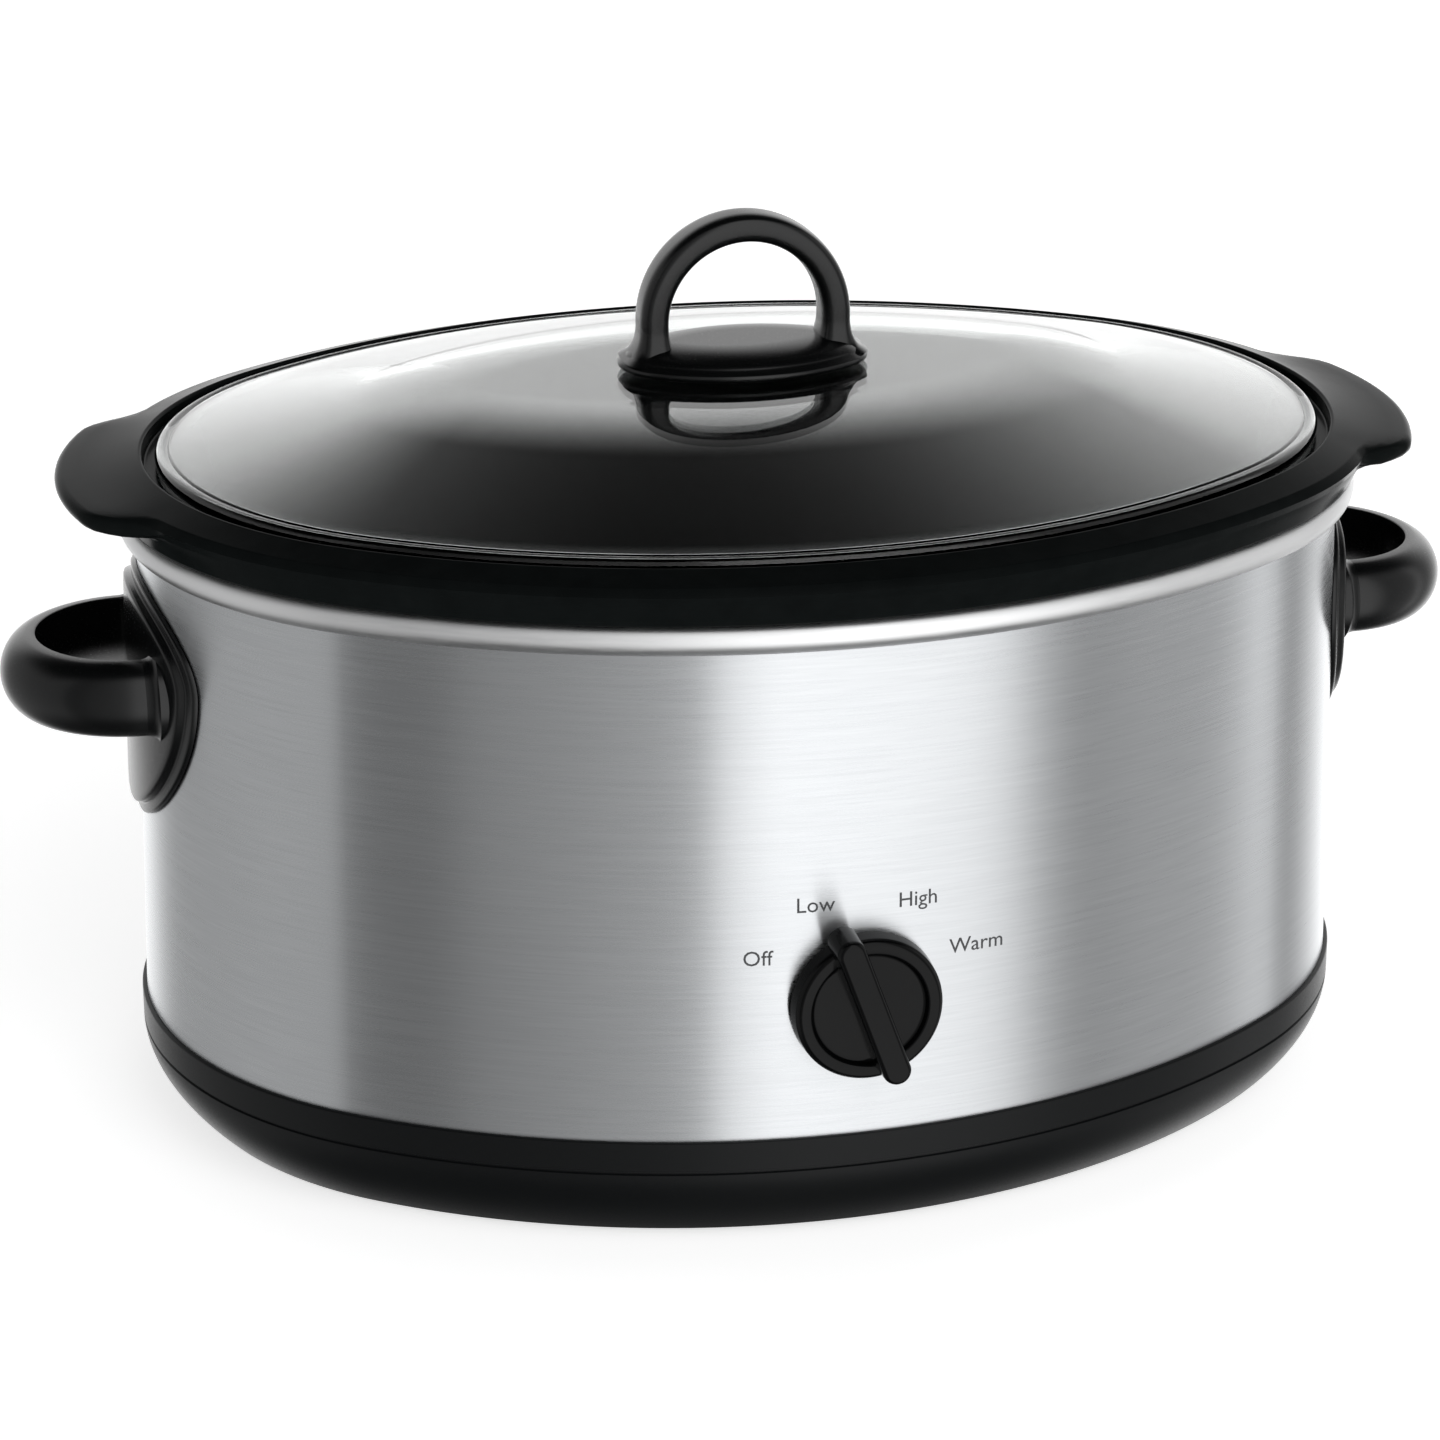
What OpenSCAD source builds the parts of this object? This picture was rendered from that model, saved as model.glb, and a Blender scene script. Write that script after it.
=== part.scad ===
/* [Body] */
// Width of the steel wrap at its top edge
body_w = 336; // [300:1:420]
// Depth of the steel wrap at its top edge
body_d = 252; // [225:1:310]
// Height of the visible steel wrap
wrap_h = 134; // [110:1:165]
// Extra offset of the wrap at its bottom edge
wrap_flare = 3.4; // [0:0.1:6]
// Thickness of the steel wrap
wrap_t = 0.6; // [0.4:0.1:1]
// Radius of the rolled rim bead
bead_r = 4.15; // [3.5:0.05:5]
// How far the rolled bead stands proud of the wrap
bead_proud = 4.9; // [3:0.1:6]

/* [Base] */
// Height of the moulded base above its own bottom edge
base_h = 31; // [28:1:38]
// How far the base curves in at the bottom
base_tuck = 12.4; // [6:0.1:16]
// Wall thickness of the base
base_wall = 2.6; // [2:0.1:3.5]
// How far the feet stand below the base
foot_drop = 2; // [1:0.5:4]
// Radius of each foot
foot_r = 8; // [6:0.5:10]
// Foot position across the width, as distance from the centre
foot_x = 108; // [80:1:120]
// Foot position across the depth, as distance from the centre
foot_y = 56; // [45:1:70]

/* [Liner] */
// Sheet thickness of the heating liner
liner_t = 0.8; // [0.6:0.1:1.2]
// Height of the liner's floor above the base's top edge
liner_rise = 10; // [8:0.1:30]
// Gap between the liner and the stoneware
liner_gap = 2.5; // [2:0.1:5]

/* [Stoneware insert] */
// Draft of the insert wall, sideways per unit of height
draft = 0.218; // [0.1:0.002:0.25]
// Wall thickness of the insert
pot_wall = 6.5; // [5:0.5:9]
// Floor thickness of the insert
pot_floor = 8; // [6:0.5:10]
// Height of the collar above the rolled rim
collar_h = 11.3; // [9:0.1:16]
// How far the collar's top edge stands out from the wrap's oval
collar_out = 8.4; // [6.5:0.1:12]
// How far the lugs stand out past the collar
lug_out = 12.6; // [6:0.1:18]
// Width of each lug
lug_w = 96; // [60:1:100]
// Thickness of each lug
lug_t = 6; // [4:0.5:8]
// Angle that the two lugs are turned from the width, both the same way round
lug_turn = 3.3; // [0:0.1:6]

/* [Lid] */
// Height of the glass dome above its seat
dome_h = 20; // [15:0.5:30]
// Radius of the dome's rounded crown, above its straight flank
crown_r = 150; // [100:5:170]
// Thickness of the glass
glass_t = 4; // [3:0.5:5]
// Radius of the bead round the glass
glass_bead_r = 2.3; // [2:0.1:3]
// Distance of the bead's middle inside the stoneware's ridge
glass_inset = 6.4; // [3:0.2:7]
// Width of the lid handle's foot
lid_foot_w = 70; // [60:1:84]
// Depth of the lid handle's foot
lid_foot_d = 46; // [40:1:56]
// Outer radius of the lid handle's arch
arch_r = 29.6; // [24:0.1:32]
// Thickness of the arch
arch_t = 8; // [6:0.5:10]
// Depth of the arch, front to back
arch_d = 13; // [10:0.5:18]
// Straight length of the arch's legs
arch_leg = 10.8; // [6:0.2:14]
// Thickness of the gasket between the lid handle's foot and the glass
gasket_t = 0.8; // [0.6:0.1:2]

/* [Side handles] */
// Depth of the side grips' middle below the wrap's top edge
grip_down = 34; // [30:1:50]
// Radius of the loop, outside
grip_r = 35.5; // [30:0.5:40]
// Radius of the loop, inside
grip_hole_r = 25.5; // [20:0.5:28]
// Height of the loop
grip_h = 20; // [16:0.5:24]
// Half-width of the mounting shield
shield_w = 45; // [40:1:48]
// Height of the shield above its widest line
shield_up = 22.5; // [18:0.5:26]
// Height of the shield below its widest line
shield_down = 46; // [30:1:50]
// Thickness of the shield
shield_t = 3.7; // [3:0.1:5]

/* [Control] */
// Height of the knob above the base's top edge
knob_z = 37.4; // [34:0.1:50]
// Radius of the knob's skirt
knob_r = 20; // [17:0.5:22]
// Height of the knob's skirt
skirt_h = 6; // [5:0.5:8]
// Height of the grip bar above the skirt
bar_h = 7.8; // [5:0.1:12]
// Width of the grip bar
bar_w = 8; // [6:0.5:10]
// How far the pointer tip reaches past the skirt
tip_out = 4.5; // [2:0.5:7]
// Radius of the switch shaft
shaft_r = 3; // [2.5:0.1:3.5]
// Angle from upright of the Low mark
low_angle = 20; // [15:1:30]

/* [Cord gland] */
// Radius of the cord's hole
cord_hole_r = 4; // [3:0.1:5]
// Height of the gland above the base's top edge
gland_z = 17; // [14:1:22]
// Length of the gland's neck outside its flange
gland_out = 7; // [3:0.5:12]

/* [Hidden] */
$fn = 96;

// The plan is a four-centred oval whose arcs meet on the slope of a 3-4-5 triangle
meet_x = 0.6;
meet_y = 0.8;
end_r = oval_end_r(body_w, body_d);
end_c = oval_end_c(body_w, body_d);

body_gap = 0.3;
slip = 0.1;
run_gap = 0.05;
base_top = foot_drop + base_h;
wrap_top = base_top + wrap_h;
bead_z = wrap_top + bead_r;
rim_z = wrap_top + 2 * bead_r;
bead_o = bead_proud - bead_r;

// Stoneware levels
pot_under = rim_z + body_gap;
pot_top = rim_z + collar_h;
ridge_z = pot_top + 2.4;
seat_z = pot_top - 1.6;
ridge_o = -1.9;
glass_o = ridge_o - glass_inset;
seat_in = glass_o - glass_bead_r - 2;
pot_wall_o = -9.5;
liner_floor = base_top + liner_rise;
pot_bottom = liner_floor + liner_gap + body_gap;
pot_corner = 18;
rim_r = 1.6;
ridge_r = 0.9;
lug_drop = 0.6;
pot_in = pot_wall_o - draft * (pot_under - pot_bottom) - pot_corner - 4;

// Lid levels
glass_seat = seat_z + body_gap;
glass_mid = glass_seat + glass_bead_r;
dome_run = end_r + glass_o - 12;
dome_top = glass_seat + dome_h;
foot_under = dome_top + gasket_t;
foot_top = foot_under + 7;
arch_z = foot_top + arch_leg - 5;

// Base
lip_t = 1.2;
groove_z = base_top - 8.2;
ledge_z = base_top - 6;
floor_z = foot_drop + 8;
floor_t = 3;
boss_under = foot_drop + 6;
stud_r = 3;

// Leads, which run between the wrap and the liner
lead_r = 1.1;
bend_r = 1.45;
lead_o = -9;
lead_z = base_top + 5;

// Control
control_z = base_top + knob_z;
front_y = body_d / 2 + wrap_o(control_z);
knob_gap = 1.2;
housing_front = -1.8;
housing_w = 30;
housing_h = 26;
housing_d = 17;
bush_r = 4.5;
nut_gap = 0.6;
nut_h = 2.4;
rotor_r = 9.5;
bar_edge = 1.2;
tab_x = 7;
tab_y = -(body_d / 2 + lead_o);
tab_top = control_z - housing_h / 2;
tab_len = 7;
tab_bottom = tab_top - tab_len - 5;

// Side handles
grip_level = wrap_top - grip_down;
screw_y = (grip_r + grip_hole_r) / 2;
grip_x = body_w / 2 + 3.4;

// Gland and heater band
gland_level = base_top + gland_z;
gland_y = body_d / 2 + wrap_o(gland_level);
band_low = rim_z - 97;
band_high = rim_z - 57;
band_t = 2;
band_gap_x = 14;
spring_levels = [band_low + 8, band_high - 8];
spring_r = 3;

// Offset of the wrap's outer face at a height
function wrap_o(z) = wrap_flare * (base_top + wrap_h - z) / wrap_h;
// Offset of the stoneware's outer face at a height
function pot_o(z) = pot_wall_o - draft * (pot_under - z);
// Offset of the liner's outer face at a height
function liner_o(z) = pot_o(z) + liner_gap + liner_t;
// Depth of the springs' axes at a height
function spring_y(z) = body_d / 2 + liner_o(z) + spring_r + 1.5;
// The oval's end arcs, centred on the width, and its side arcs, centred on the depth
function oval_end_c(w, d) = 0.75 * (w - d);
function oval_end_r(w, d) = w / 2 - oval_end_c(w, d);
function oval_side_c(w, d) = w - d;
function oval_side_r(w, d) = w - d / 2;
// Points along an arc
function arc(x, y, r, a0, a1, n = 8) =
    [for (i = [0:n]) let (a = a0 + (a1 - a0) * i / n) [x + r * cos(a), y + r * sin(a)]];
// Points along an upright oval arc
function oval_arc(x, y, rx, ry, a0, a1, n = 8) =
    [for (i = [0:n]) let (a = a0 + (a1 - a0) * i / n) [x + rx * cos(a), y + ry * sin(a)]];

// Sweeps a profile, x as offset and y as height, all round an oval of four arcs
module oval_sweep(w = body_w, d = body_d) {
    c = oval_end_c(w, d);
    s = oval_side_c(w, d);
    far = 3 * w;
    tall = 1000;
    for (turn = [0, 180]) rotate([0, 0, turn]) {
        intersection() {
            translate([c, 0, 0]) rotate_extrude() translate([oval_end_r(w, d), 0]) children();
            translate([0, 0, -tall / 2]) linear_extrude(tall)
                polygon([[c, 0], [c + meet_x * far, -meet_y * far], [c + far, -meet_y * far],
                         [c + far, meet_y * far], [c + meet_x * far, meet_y * far]]);
        }
        intersection() {
            translate([0, -s, 0]) rotate_extrude() translate([oval_side_r(w, d), 0]) children();
            translate([0, 0, -tall / 2]) linear_extrude(tall)
                polygon([[0, -s], [meet_x * far, meet_y * far - s], [-meet_x * far, meet_y * far - s]]);
        }
    }
}

// The flat shape of the oval at an offset
module oval_shape(o, w = body_w, d = body_d) {
    c = oval_end_c(w, d);
    end = oval_end_r(w, d) + o;
    x = c + meet_x * end;
    y = meet_y * end;
    square([2 * x, 2 * y], center = true);
    for (m = [0, 1]) mirror([m, 0]) intersection() {
        translate([c, 0]) circle(end);
        translate([x, -y]) square([end, 2 * y]);
    }
    for (m = [0, 1]) mirror([0, m]) intersection() {
        translate([0, -oval_side_c(w, d)]) circle(oval_side_r(w, d) + o);
        translate([-x, y]) square([2 * x, d]);
    }
}

module oval_plate(o, z0, z1, w = body_w, d = body_d) {
    translate([0, 0, z0]) linear_extrude(z1 - z0) oval_shape(o, w, d);
}

// Places a child made along +Z on the front face, facing forwards
module on_front(z) {
    translate([0, -front_y, z]) rotate([90, 0, 0]) children();
}

// A tube, open at both ends
module tube(r_out, r_in, z0, z1) {
    difference() {
        translate([0, 0, z0]) cylinder(r = r_out, h = z1 - z0);
        translate([0, 0, z0 - 1]) cylinder(r = r_in, h = z1 - z0 + 2);
    }
}

// The solid inside the wrap's outer face, at the handle end
module wrap_end_core(grow) {
    low = base_top - 5;
    high = wrap_top + 10;
    translate([end_c, 0, low])
        cylinder(r1 = end_r + wrap_o(low) + grow, r2 = end_r + wrap_o(high) + grow, h = high - low);
}

// ---- Cooking vessel ----

// The lug's outline, for the side at +X
module lug_shape() {
    tip = body_w / 2 + collar_out + lug_out;
    big_r = end_r + 2;
    corner = 9;
    y = lug_w / 2 - corner;
    x = tip - big_r + sqrt(pow(big_r - corner, 2) - y * y);
    for (s = [-1, 1]) translate([x, s * y]) circle(corner);
    root = body_w / 2 - 24;
    translate([root, -lug_w / 2]) square([x - root, lug_w]);
    intersection() {
        translate([tip - big_r, 0]) circle(big_r);
        translate([root, -y]) square([tip, 2 * y]);
    }
}

module stoneware_insert() {
    bend_z = pot_bottom + pot_corner;
    out_o = pot_o(bend_z);
    in_z = pot_bottom + pot_floor;
    in_corner = pot_corner - 2;
    in_o = pot_o(in_z + in_corner) - pot_wall;
    throat_z = seat_z - 12;
    color("#17191b") {
        oval_sweep() polygon(concat(
            [[pot_in, pot_bottom]],
            oval_arc(out_o - pot_corner, bend_z, pot_corner, pot_corner, -90, 0),
            [[pot_wall_o, pot_under], [bead_proud - 0.5, pot_under], [bead_proud, pot_under + 0.8],
             [collar_out, pot_top - 2]],
            arc(collar_out - rim_r, pot_top - rim_r, rim_r, 0, 80, 4),
            arc(ridge_o + 0.2, ridge_z - ridge_r, ridge_r, 75, 180, 4),
            [[ridge_o - 0.7, seat_z], [seat_in, seat_z], [seat_in - 1, seat_z - 1],
             [pot_o(throat_z) - pot_wall, throat_z]],
            oval_arc(in_o - in_corner, in_z + in_corner, in_corner, in_corner, 0, -90),
            [[pot_in, in_z]]));
        oval_plate(pot_in + 1, pot_bottom, in_z);
        for (turn = [0, 180]) rotate([0, 0, turn - lug_turn]) difference() {
            translate([0, 0, pot_top - lug_t]) linear_extrude(lug_t - lug_drop) lug_shape();
            rotate([0, 0, lug_turn]) oval_plate(collar_out - 4, pot_top - lug_t - 1, pot_top + 1);
        }
    }
}

module glass_lid() {
    edge_z = glass_mid + glass_t / 2;
    rise = dome_top - edge_z;
    full_r = (dome_run * dome_run + rise * rise) / (2 * rise);
    crown = min(crown_r, 0.9 * full_r);
    reach = norm([dome_run, crown - rise]);
    lean = atan2(dome_run, crown - rise) - acos(crown / reach);
    mid_o = glass_o - dome_run;
    color([0.8, 0.85, 0.88, 0.35]) difference() {
        union() {
            oval_sweep() {
                translate([glass_o, glass_mid]) circle(glass_bead_r);
                polygon(concat(
                    arc(mid_o, dome_top - crown, crown, 90, 90 - lean, 10),
                    [[glass_o, edge_z],
                     [glass_o - glass_t * sin(lean), edge_z - glass_t * cos(lean)]],
                    arc(mid_o, dome_top - crown, crown - glass_t, 90 - lean, 90, 10)));
            }
            oval_plate(mid_o + 0.5, dome_top - glass_t, dome_top);
        }
        translate([0, 0, dome_top - 10]) cylinder(r = 3.2, h = 20);
    }
}

module lid_handle() {
    mid_r = arch_r - arch_t / 2;
    half = arch_d / 2 - arch_t / 2;
    foot_end = oval_end_r(lid_foot_w, lid_foot_d);
    color("#1c1f20") difference() {
        union() {
            oval_sweep(lid_foot_w, lid_foot_d) polygon(concat(
                [[-foot_end + 2, foot_under], [-1, foot_under]],
                arc(-1.2, foot_under + 1.4, 1.2, -60, 60, 4),
                oval_arc(-foot_end + 2, foot_under + 2.5, foot_end - 3.6, 4.5, 5, 90, 8)));
            oval_plate(-foot_end + 2.5, foot_under, foot_top, lid_foot_w, lid_foot_d);
            translate([0, 0, arch_z]) rotate([90, 0, 0]) rotate_extrude(angle = 180) translate([mid_r, 0]) {
                square([arch_t, 2 * half], center = true);
                for (s = [-1, 1]) translate([0, s * half]) circle(arch_t / 2);
            }
            for (s = [-1, 1]) translate([s * mid_r, 0, foot_top - 4]) linear_extrude(arch_z - foot_top + 4) {
                square([arch_t, 2 * half], center = true);
                for (t = [-1, 1]) translate([0, t * half]) circle(arch_t / 2);
            }
        }
        translate([0, 0, foot_under - 1]) cylinder(r = 2.1, h = 6.5);
    }
}

module lid_gasket() {
    color("#2b2c2c") tube(9, 3.2, dome_top + slip / 2, foot_under - slip / 2);
}

module lid_washer() {
    top = dome_top - glass_t - slip / 2;
    color("#c8c9c8") tube(8, 2.6, top - 1, top);
}

module lid_screw() {
    under = dome_top - glass_t - 1 - slip;
    color("#b9bbbb") difference() {
        union() {
            translate([0, 0, under]) cylinder(r = 2, h = foot_under + 4.5 - under);
            translate([0, 0, under - 2.2]) cylinder(r1 = 3.2, r2 = 4.6, h = 2.2);
        }
        for (a = [0, 90]) rotate([0, 0, a]) translate([-2.4, -0.5, under - 3]) cube([4.8, 1, 2.2]);
    }
}

// ---- Heating base ----

module outer_wrap() {
    low = ledge_z + slip;
    high = wrap_top - slip;
    color("#b4b6b8") difference() {
        oval_sweep() polygon([[wrap_o(low), low], [wrap_o(high), high],
                              [wrap_o(high) - wrap_t, high], [wrap_o(low) - wrap_t, low]]);
        on_front(control_z) translate([0, 0, -8]) cylinder(r = bush_r + 0.2, h = 16);
        translate([0, gland_y - 8, gland_level]) rotate([-90, 0, 0]) cylinder(r = cord_hole_r + 2.2, h = 16);
        for (s = [-1, 1], y = [-1, 1]) translate([s * body_w / 2 - 20, y * screw_y, grip_level])
            rotate([0, 90, 0]) cylinder(r = 2.3, h = 40);
    }
}

module heating_liner() {
    bend_z = liner_floor + pot_corner;
    in_r = pot_corner;
    in_o = liner_o(bend_z) - liner_t;
    flange_in = liner_o(rim_z) - liner_t;
    mid_o = in_o - in_r - 4;
    color("#a9abad") {
        oval_sweep() {
            difference() {
                translate([bead_o, bead_z]) circle(bead_r);
                translate([bead_o, bead_z]) circle(bead_r - liner_t);
            }
            polygon(concat(
                [[bead_o, rim_z], [flange_in + 0.4, rim_z], [flange_in, rim_z - 0.4]],
                arc(in_o - in_r, bend_z, in_r, 0, -90),
                [[mid_o, liner_floor], [mid_o, liner_floor - liner_t]],
                arc(in_o - in_r, bend_z, in_r + liner_t, -90, 0),
                [[liner_o(rim_z - liner_t), rim_z - liner_t], [bead_o, rim_z - liner_t]]));
        }
        oval_plate(mid_o + 1, liner_floor - liner_t, liner_floor);
    }
}

module liner_stud() {
    top = liner_floor - liner_t;
    color("#9a9c9e") {
        translate([0, 0, top - 1]) cylinder(r = 8, h = 1);
        translate([0, 0, foot_drop + 0.5]) cylinder(r = stud_r, h = top - foot_drop - 1);
    }
}

module band_profile() {
    polygon([[liner_o(band_low) + slip, band_low], [liner_o(band_low) + band_t, band_low],
             [liner_o(band_high) + band_t, band_high], [liner_o(band_high) + slip, band_high]]);
}

module heater_band() {
    color("#8d7f68") {
        difference() {
            oval_sweep() band_profile();
            translate([-band_gap_x, 0, band_low - 1])
                cube([2 * band_gap_x, body_d, band_high - band_low + 2]);
        }
        for (s = [-1, 1], z = spring_levels) translate([s * band_gap_x - 0.6, spring_y(z) - 3.5, z - 4])
            cube([1.2, 7.5, 8]);
    }
}

// Close-wound springs that pull the band's ends together
module band_springs() {
    coils = 16;
    length = 2 * band_gap_x - 1.2 - 2 * slip;
    pitch = length / coils;
    color("#c9cacb") for (z = spring_levels) translate([-length / 2, spring_y(z), z]) rotate([0, 90, 0])
        rotate_extrude() {
            square([spring_r - pitch / 2, length]);
            for (i = [0:coils - 1]) translate([spring_r - pitch / 2, (i + 0.5) * pitch]) circle(pitch / 2);
        }
}

module heat_shield() {
    z = base_top - 9;
    color("#b0b2b3") difference() {
        oval_plate(-12, z, z + 0.6);
        translate([0, 0, z - 1]) cylinder(r = stud_r + 0.5, h = 3);
    }
}

// Offset of the base's outer face, curving in towards the bottom
function base_o(z) = wrap_flare + 1.3 - base_tuck * pow((groove_z - 1 - z) / (groove_z - 1 - foot_drop), 1.8);

module moulded_base() {
    lip_o = wrap_flare + 1.3;
    n = 8;
    low = foot_drop;
    curve_top = groove_z - 1;
    shield_z = base_top - 9;
    color("#202324") difference() {
        union() {
            oval_sweep() polygon(concat(
                [[lip_o, base_top - 0.4], [lip_o, groove_z], [lip_o - 0.5, groove_z - 0.3],
                 [lip_o - 0.5, groove_z - 0.7]],
                [for (i = [0:n]) let (z = curve_top + (low - curve_top) * i / n) [base_o(z), z]],
                [for (i = [0:4]) let (z = low + (floor_z - low) * i / 4) [base_o(z) - base_wall, z]],
                [[-15, floor_z], [-15, floor_z + floor_t],
                 [base_o(floor_z + floor_t) - base_wall, floor_z + floor_t],
                 [lip_o - 4.6, curve_top], [lip_o - 4.6, ledge_z], [wrap_o(ledge_z) + slip, ledge_z],
                 [wrap_o(base_top) + slip, base_top], [lip_o - 0.4, base_top]]));
            oval_plate(-14, floor_z, floor_z + floor_t);
            translate([0, 0, boss_under]) cylinder(r = 10, h = floor_z + floor_t - boss_under);
            for (x = [-1, 1], y = [-1, 1]) {
                translate([x * foot_x, y * foot_y, foot_drop + 1])
                    cylinder(r = foot_r + 2, h = floor_z - foot_drop);
                translate([x * foot_x * 0.6, y * foot_y * 0.9, floor_z + 1])
                    cylinder(r = 4, h = shield_z - floor_z - 1);
            }
        }
        cylinder(r = stud_r + 0.3, h = base_top);
        for (x = [-1, 1], y = [-1, 1]) translate([x * foot_x, y * foot_y, 0])
            cylinder(r = foot_r + slip, h = foot_drop + 6 + slip);
        for (x = [-3:3], y = [-1, 1]) if (x != 0) translate([x * 18 - 2, y * 30 - 9, floor_z - 1])
            cube([4, 18, floor_t + 2]);
    }
}

module base_washer() {
    color("#b9bbbc") tube(7, stud_r + 0.2, boss_under - slip - 1, boss_under - slip);
}

module base_nut() {
    top = boss_under - 2 * slip - 1;
    color("#a5a7a8") difference() {
        translate([0, 0, top - 4.5]) cylinder(r = 5.6, h = 4.5, $fn = 6);
        translate([0, 0, top - 6]) cylinder(r = stud_r + run_gap, h = 8);
    }
}

module rubber_feet() {
    color("#2a2a2a") for (x = [-1, 1], y = [-1, 1]) translate([x * foot_x, y * foot_y, 0]) {
        cylinder(r1 = foot_r - 1, r2 = foot_r, h = 1);
        translate([0, 0, 1]) cylinder(r = foot_r, h = foot_drop + 5);
    }
}

// ---- Side handles ----

// The shield's egg-shaped outline, drawn in y and z
module shield_shape(inset) {
    z = grip_level + 4;
    polygon([for (t = [0:7.5:352.5]) let (up = sin(t) > 0 ? shield_up - inset : shield_down - inset)
        [(shield_w - inset) * cos(t) * (sin(t) > 0 ? 1 : 1 - 0.14 * pow(sin(t), 2)), z + up * sin(t)]]);
}

module shield_block(inset) {
    translate([body_w / 2 - 40, 0, 0]) rotate([90, 0, 90]) linear_extrude(60) shield_shape(inset);
}

// The loop's section, from the loop's axis outwards
module grip_section() {
    low = -grip_h / 2;
    wide = grip_r - grip_hole_r - 0.5;
    tall = grip_h / 2 + 1;
    polygon(concat(
        [[grip_hole_r, grip_h / 2]],
        [for (a = [88:-12:-56]) [grip_hole_r + 0.5 + wide * cos(a), min(grip_h / 2, -1 + tall * sin(a))]],
        [[grip_hole_r + 4, low], [grip_hole_r, low]]));
}

module side_handle() {
    difference() {
        union() {
            intersection() {
                wrap_end_core(1.6);
                shield_block(0);
            }
            intersection() {
                wrap_end_core(shield_t);
                shield_block(3.5);
            }
            translate([grip_x, 0, grip_level]) {
                rotate([0, 0, -90]) rotate_extrude(angle = 180) grip_section();
                for (s = [0, 1]) mirror([0, s, 0]) rotate([90, 0, -90]) linear_extrude(24) grip_section();
                translate([-20, -grip_hole_r - 1, -1]) cube([20, 2 * grip_hole_r + 2, 2.5]);
                intersection() {
                    translate([0, 0, -1]) cylinder(r = grip_hole_r + 1, h = 2.5);
                    translate([0, -50, -5]) cube([50, 100, 10]);
                }
            }
        }
        wrap_end_core(slip);
        for (y = [-1, 1]) translate([body_w / 2 - 20, y * screw_y, grip_level]) rotate([0, 90, 0])
            cylinder(r = 2, h = 36);
    }
}

module right_handle() { color("#1f2223") side_handle(); }
module left_handle() { color("#1f2223") mirror([1, 0, 0]) side_handle(); }

module handle_screws() {
    head_y = screw_y + 4;
    inner = end_r + wrap_o(grip_level) - wrap_t;
    x = end_c + sqrt(inner * inner - head_y * head_y) - 0.5;
    for (y = [-1, 1]) translate([x, y * screw_y, grip_level]) rotate([0, 90, 0]) {
        cylinder(r = 1.95, h = 17);
        difference() {
            translate([0, 0, -2.4]) cylinder(r = 3.8, h = 2.4);
            for (a = [0, 90]) rotate([0, 0, a]) translate([-2.2, -0.5, -3]) cube([4.4, 1, 1.8]);
        }
    }
}

module right_handle_screws() { color("#a8aaab") handle_screws(); }
module left_handle_screws() { color("#a8aaab") mirror([1, 0, 0]) handle_screws(); }

// ---- Control ----

// The grip bar's outline, pointer end up
module bar_shape(inset) {
    w = bar_w / 2 - inset;
    top = knob_r + tip_out - w - inset;
    low = -knob_r + w + inset + 0.5;
    translate([-w, low]) square([2 * w, top - low]);
    translate([0, top]) circle(w);
    translate([0, low]) circle(w);
}

module control_knob() {
    top = knob_gap + skirt_h;
    bore_top = top + bar_h - 3.5;
    boss_low = nut_gap + nut_h + 2 * body_gap;
    color("#141516") on_front(control_z) rotate([0, 0, low_angle]) difference() {
        union() {
            rotate_extrude() polygon([
                [0, knob_gap + 3], [knob_r - 1.8, knob_gap + 3], [knob_r - 1.8, knob_gap],
                [knob_r, knob_gap], [knob_r - 0.4, top - 1.6], [knob_r - 1.6, top - 0.2],
                [knob_r - 4.6, top - 0.6], [knob_r - 5.2, top - 1.6], [0, top - 1.6]]);
            translate([0, 0, top - 2.4]) linear_extrude(bar_h - bar_edge + 2.4) bar_shape(0);
            translate([0, 0, top + bar_h - bar_edge]) linear_extrude(bar_edge) bar_shape(0.8);
            translate([0, 0, boss_low]) cylinder(r = 5.2, h = knob_gap + 4 - boss_low);
        }
        difference() {
            translate([0, 0, knob_gap - 1]) cylinder(r = shaft_r + run_gap, h = bore_top - knob_gap + 1);
            translate([shaft_r - 1 + run_gap + 0.4, -5, knob_gap - 1]) cube([4, 10, bore_top]);
        }
    }
}

module knob_clip() {
    low = knob_gap + 1.6;
    color("#c4c6c6") on_front(control_z) rotate([0, 0, low_angle])
        translate([shaft_r - 1 + run_gap / 2, -1.8, low]) cube([0.4, 3.6, 6]);
}

module switch_shaft() {
    end = knob_gap + skirt_h + bar_h - 3.5 - 0.2;
    rotor_z = housing_front - 4.2;
    color("#c9b27a") on_front(control_z) rotate([0, 0, low_angle]) {
        difference() {
            translate([0, 0, rotor_z]) cylinder(r = shaft_r, h = end - rotor_z);
            translate([shaft_r - 1, -5, knob_gap + 1]) cube([4, 10, 20]);
        }
        translate([0, 0, rotor_z - 3]) cylinder(r = rotor_r, h = 3.5);
        translate([rotor_r - 2.5, -1.5, rotor_z - 3]) cube([1.8, 3, 4.2]);
    }
}

module switch_housing() {
    back = housing_front - housing_d;
    color("#3b3a37") on_front(control_z) difference() {
        union() {
            translate([-housing_w / 2, -housing_h / 2, back + 2]) cube([housing_w, housing_h, housing_d - 2]);
            translate([0, 0, housing_front - 1])
                cylinder(r = bush_r, h = nut_gap + nut_h + 0.8 - housing_front);
        }
        translate([0, 0, back + 1]) cylinder(r = rotor_r + 1, h = housing_d - 3.2);
        translate([0, 0, back]) cylinder(r = shaft_r + run_gap, h = 40);
    }
}

module switch_cover() {
    back = housing_front - housing_d;
    color("#56534c") on_front(control_z)
        translate([-housing_w / 2, -housing_h / 2, back]) cube([housing_w, housing_h, 2 - slip]);
}

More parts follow.
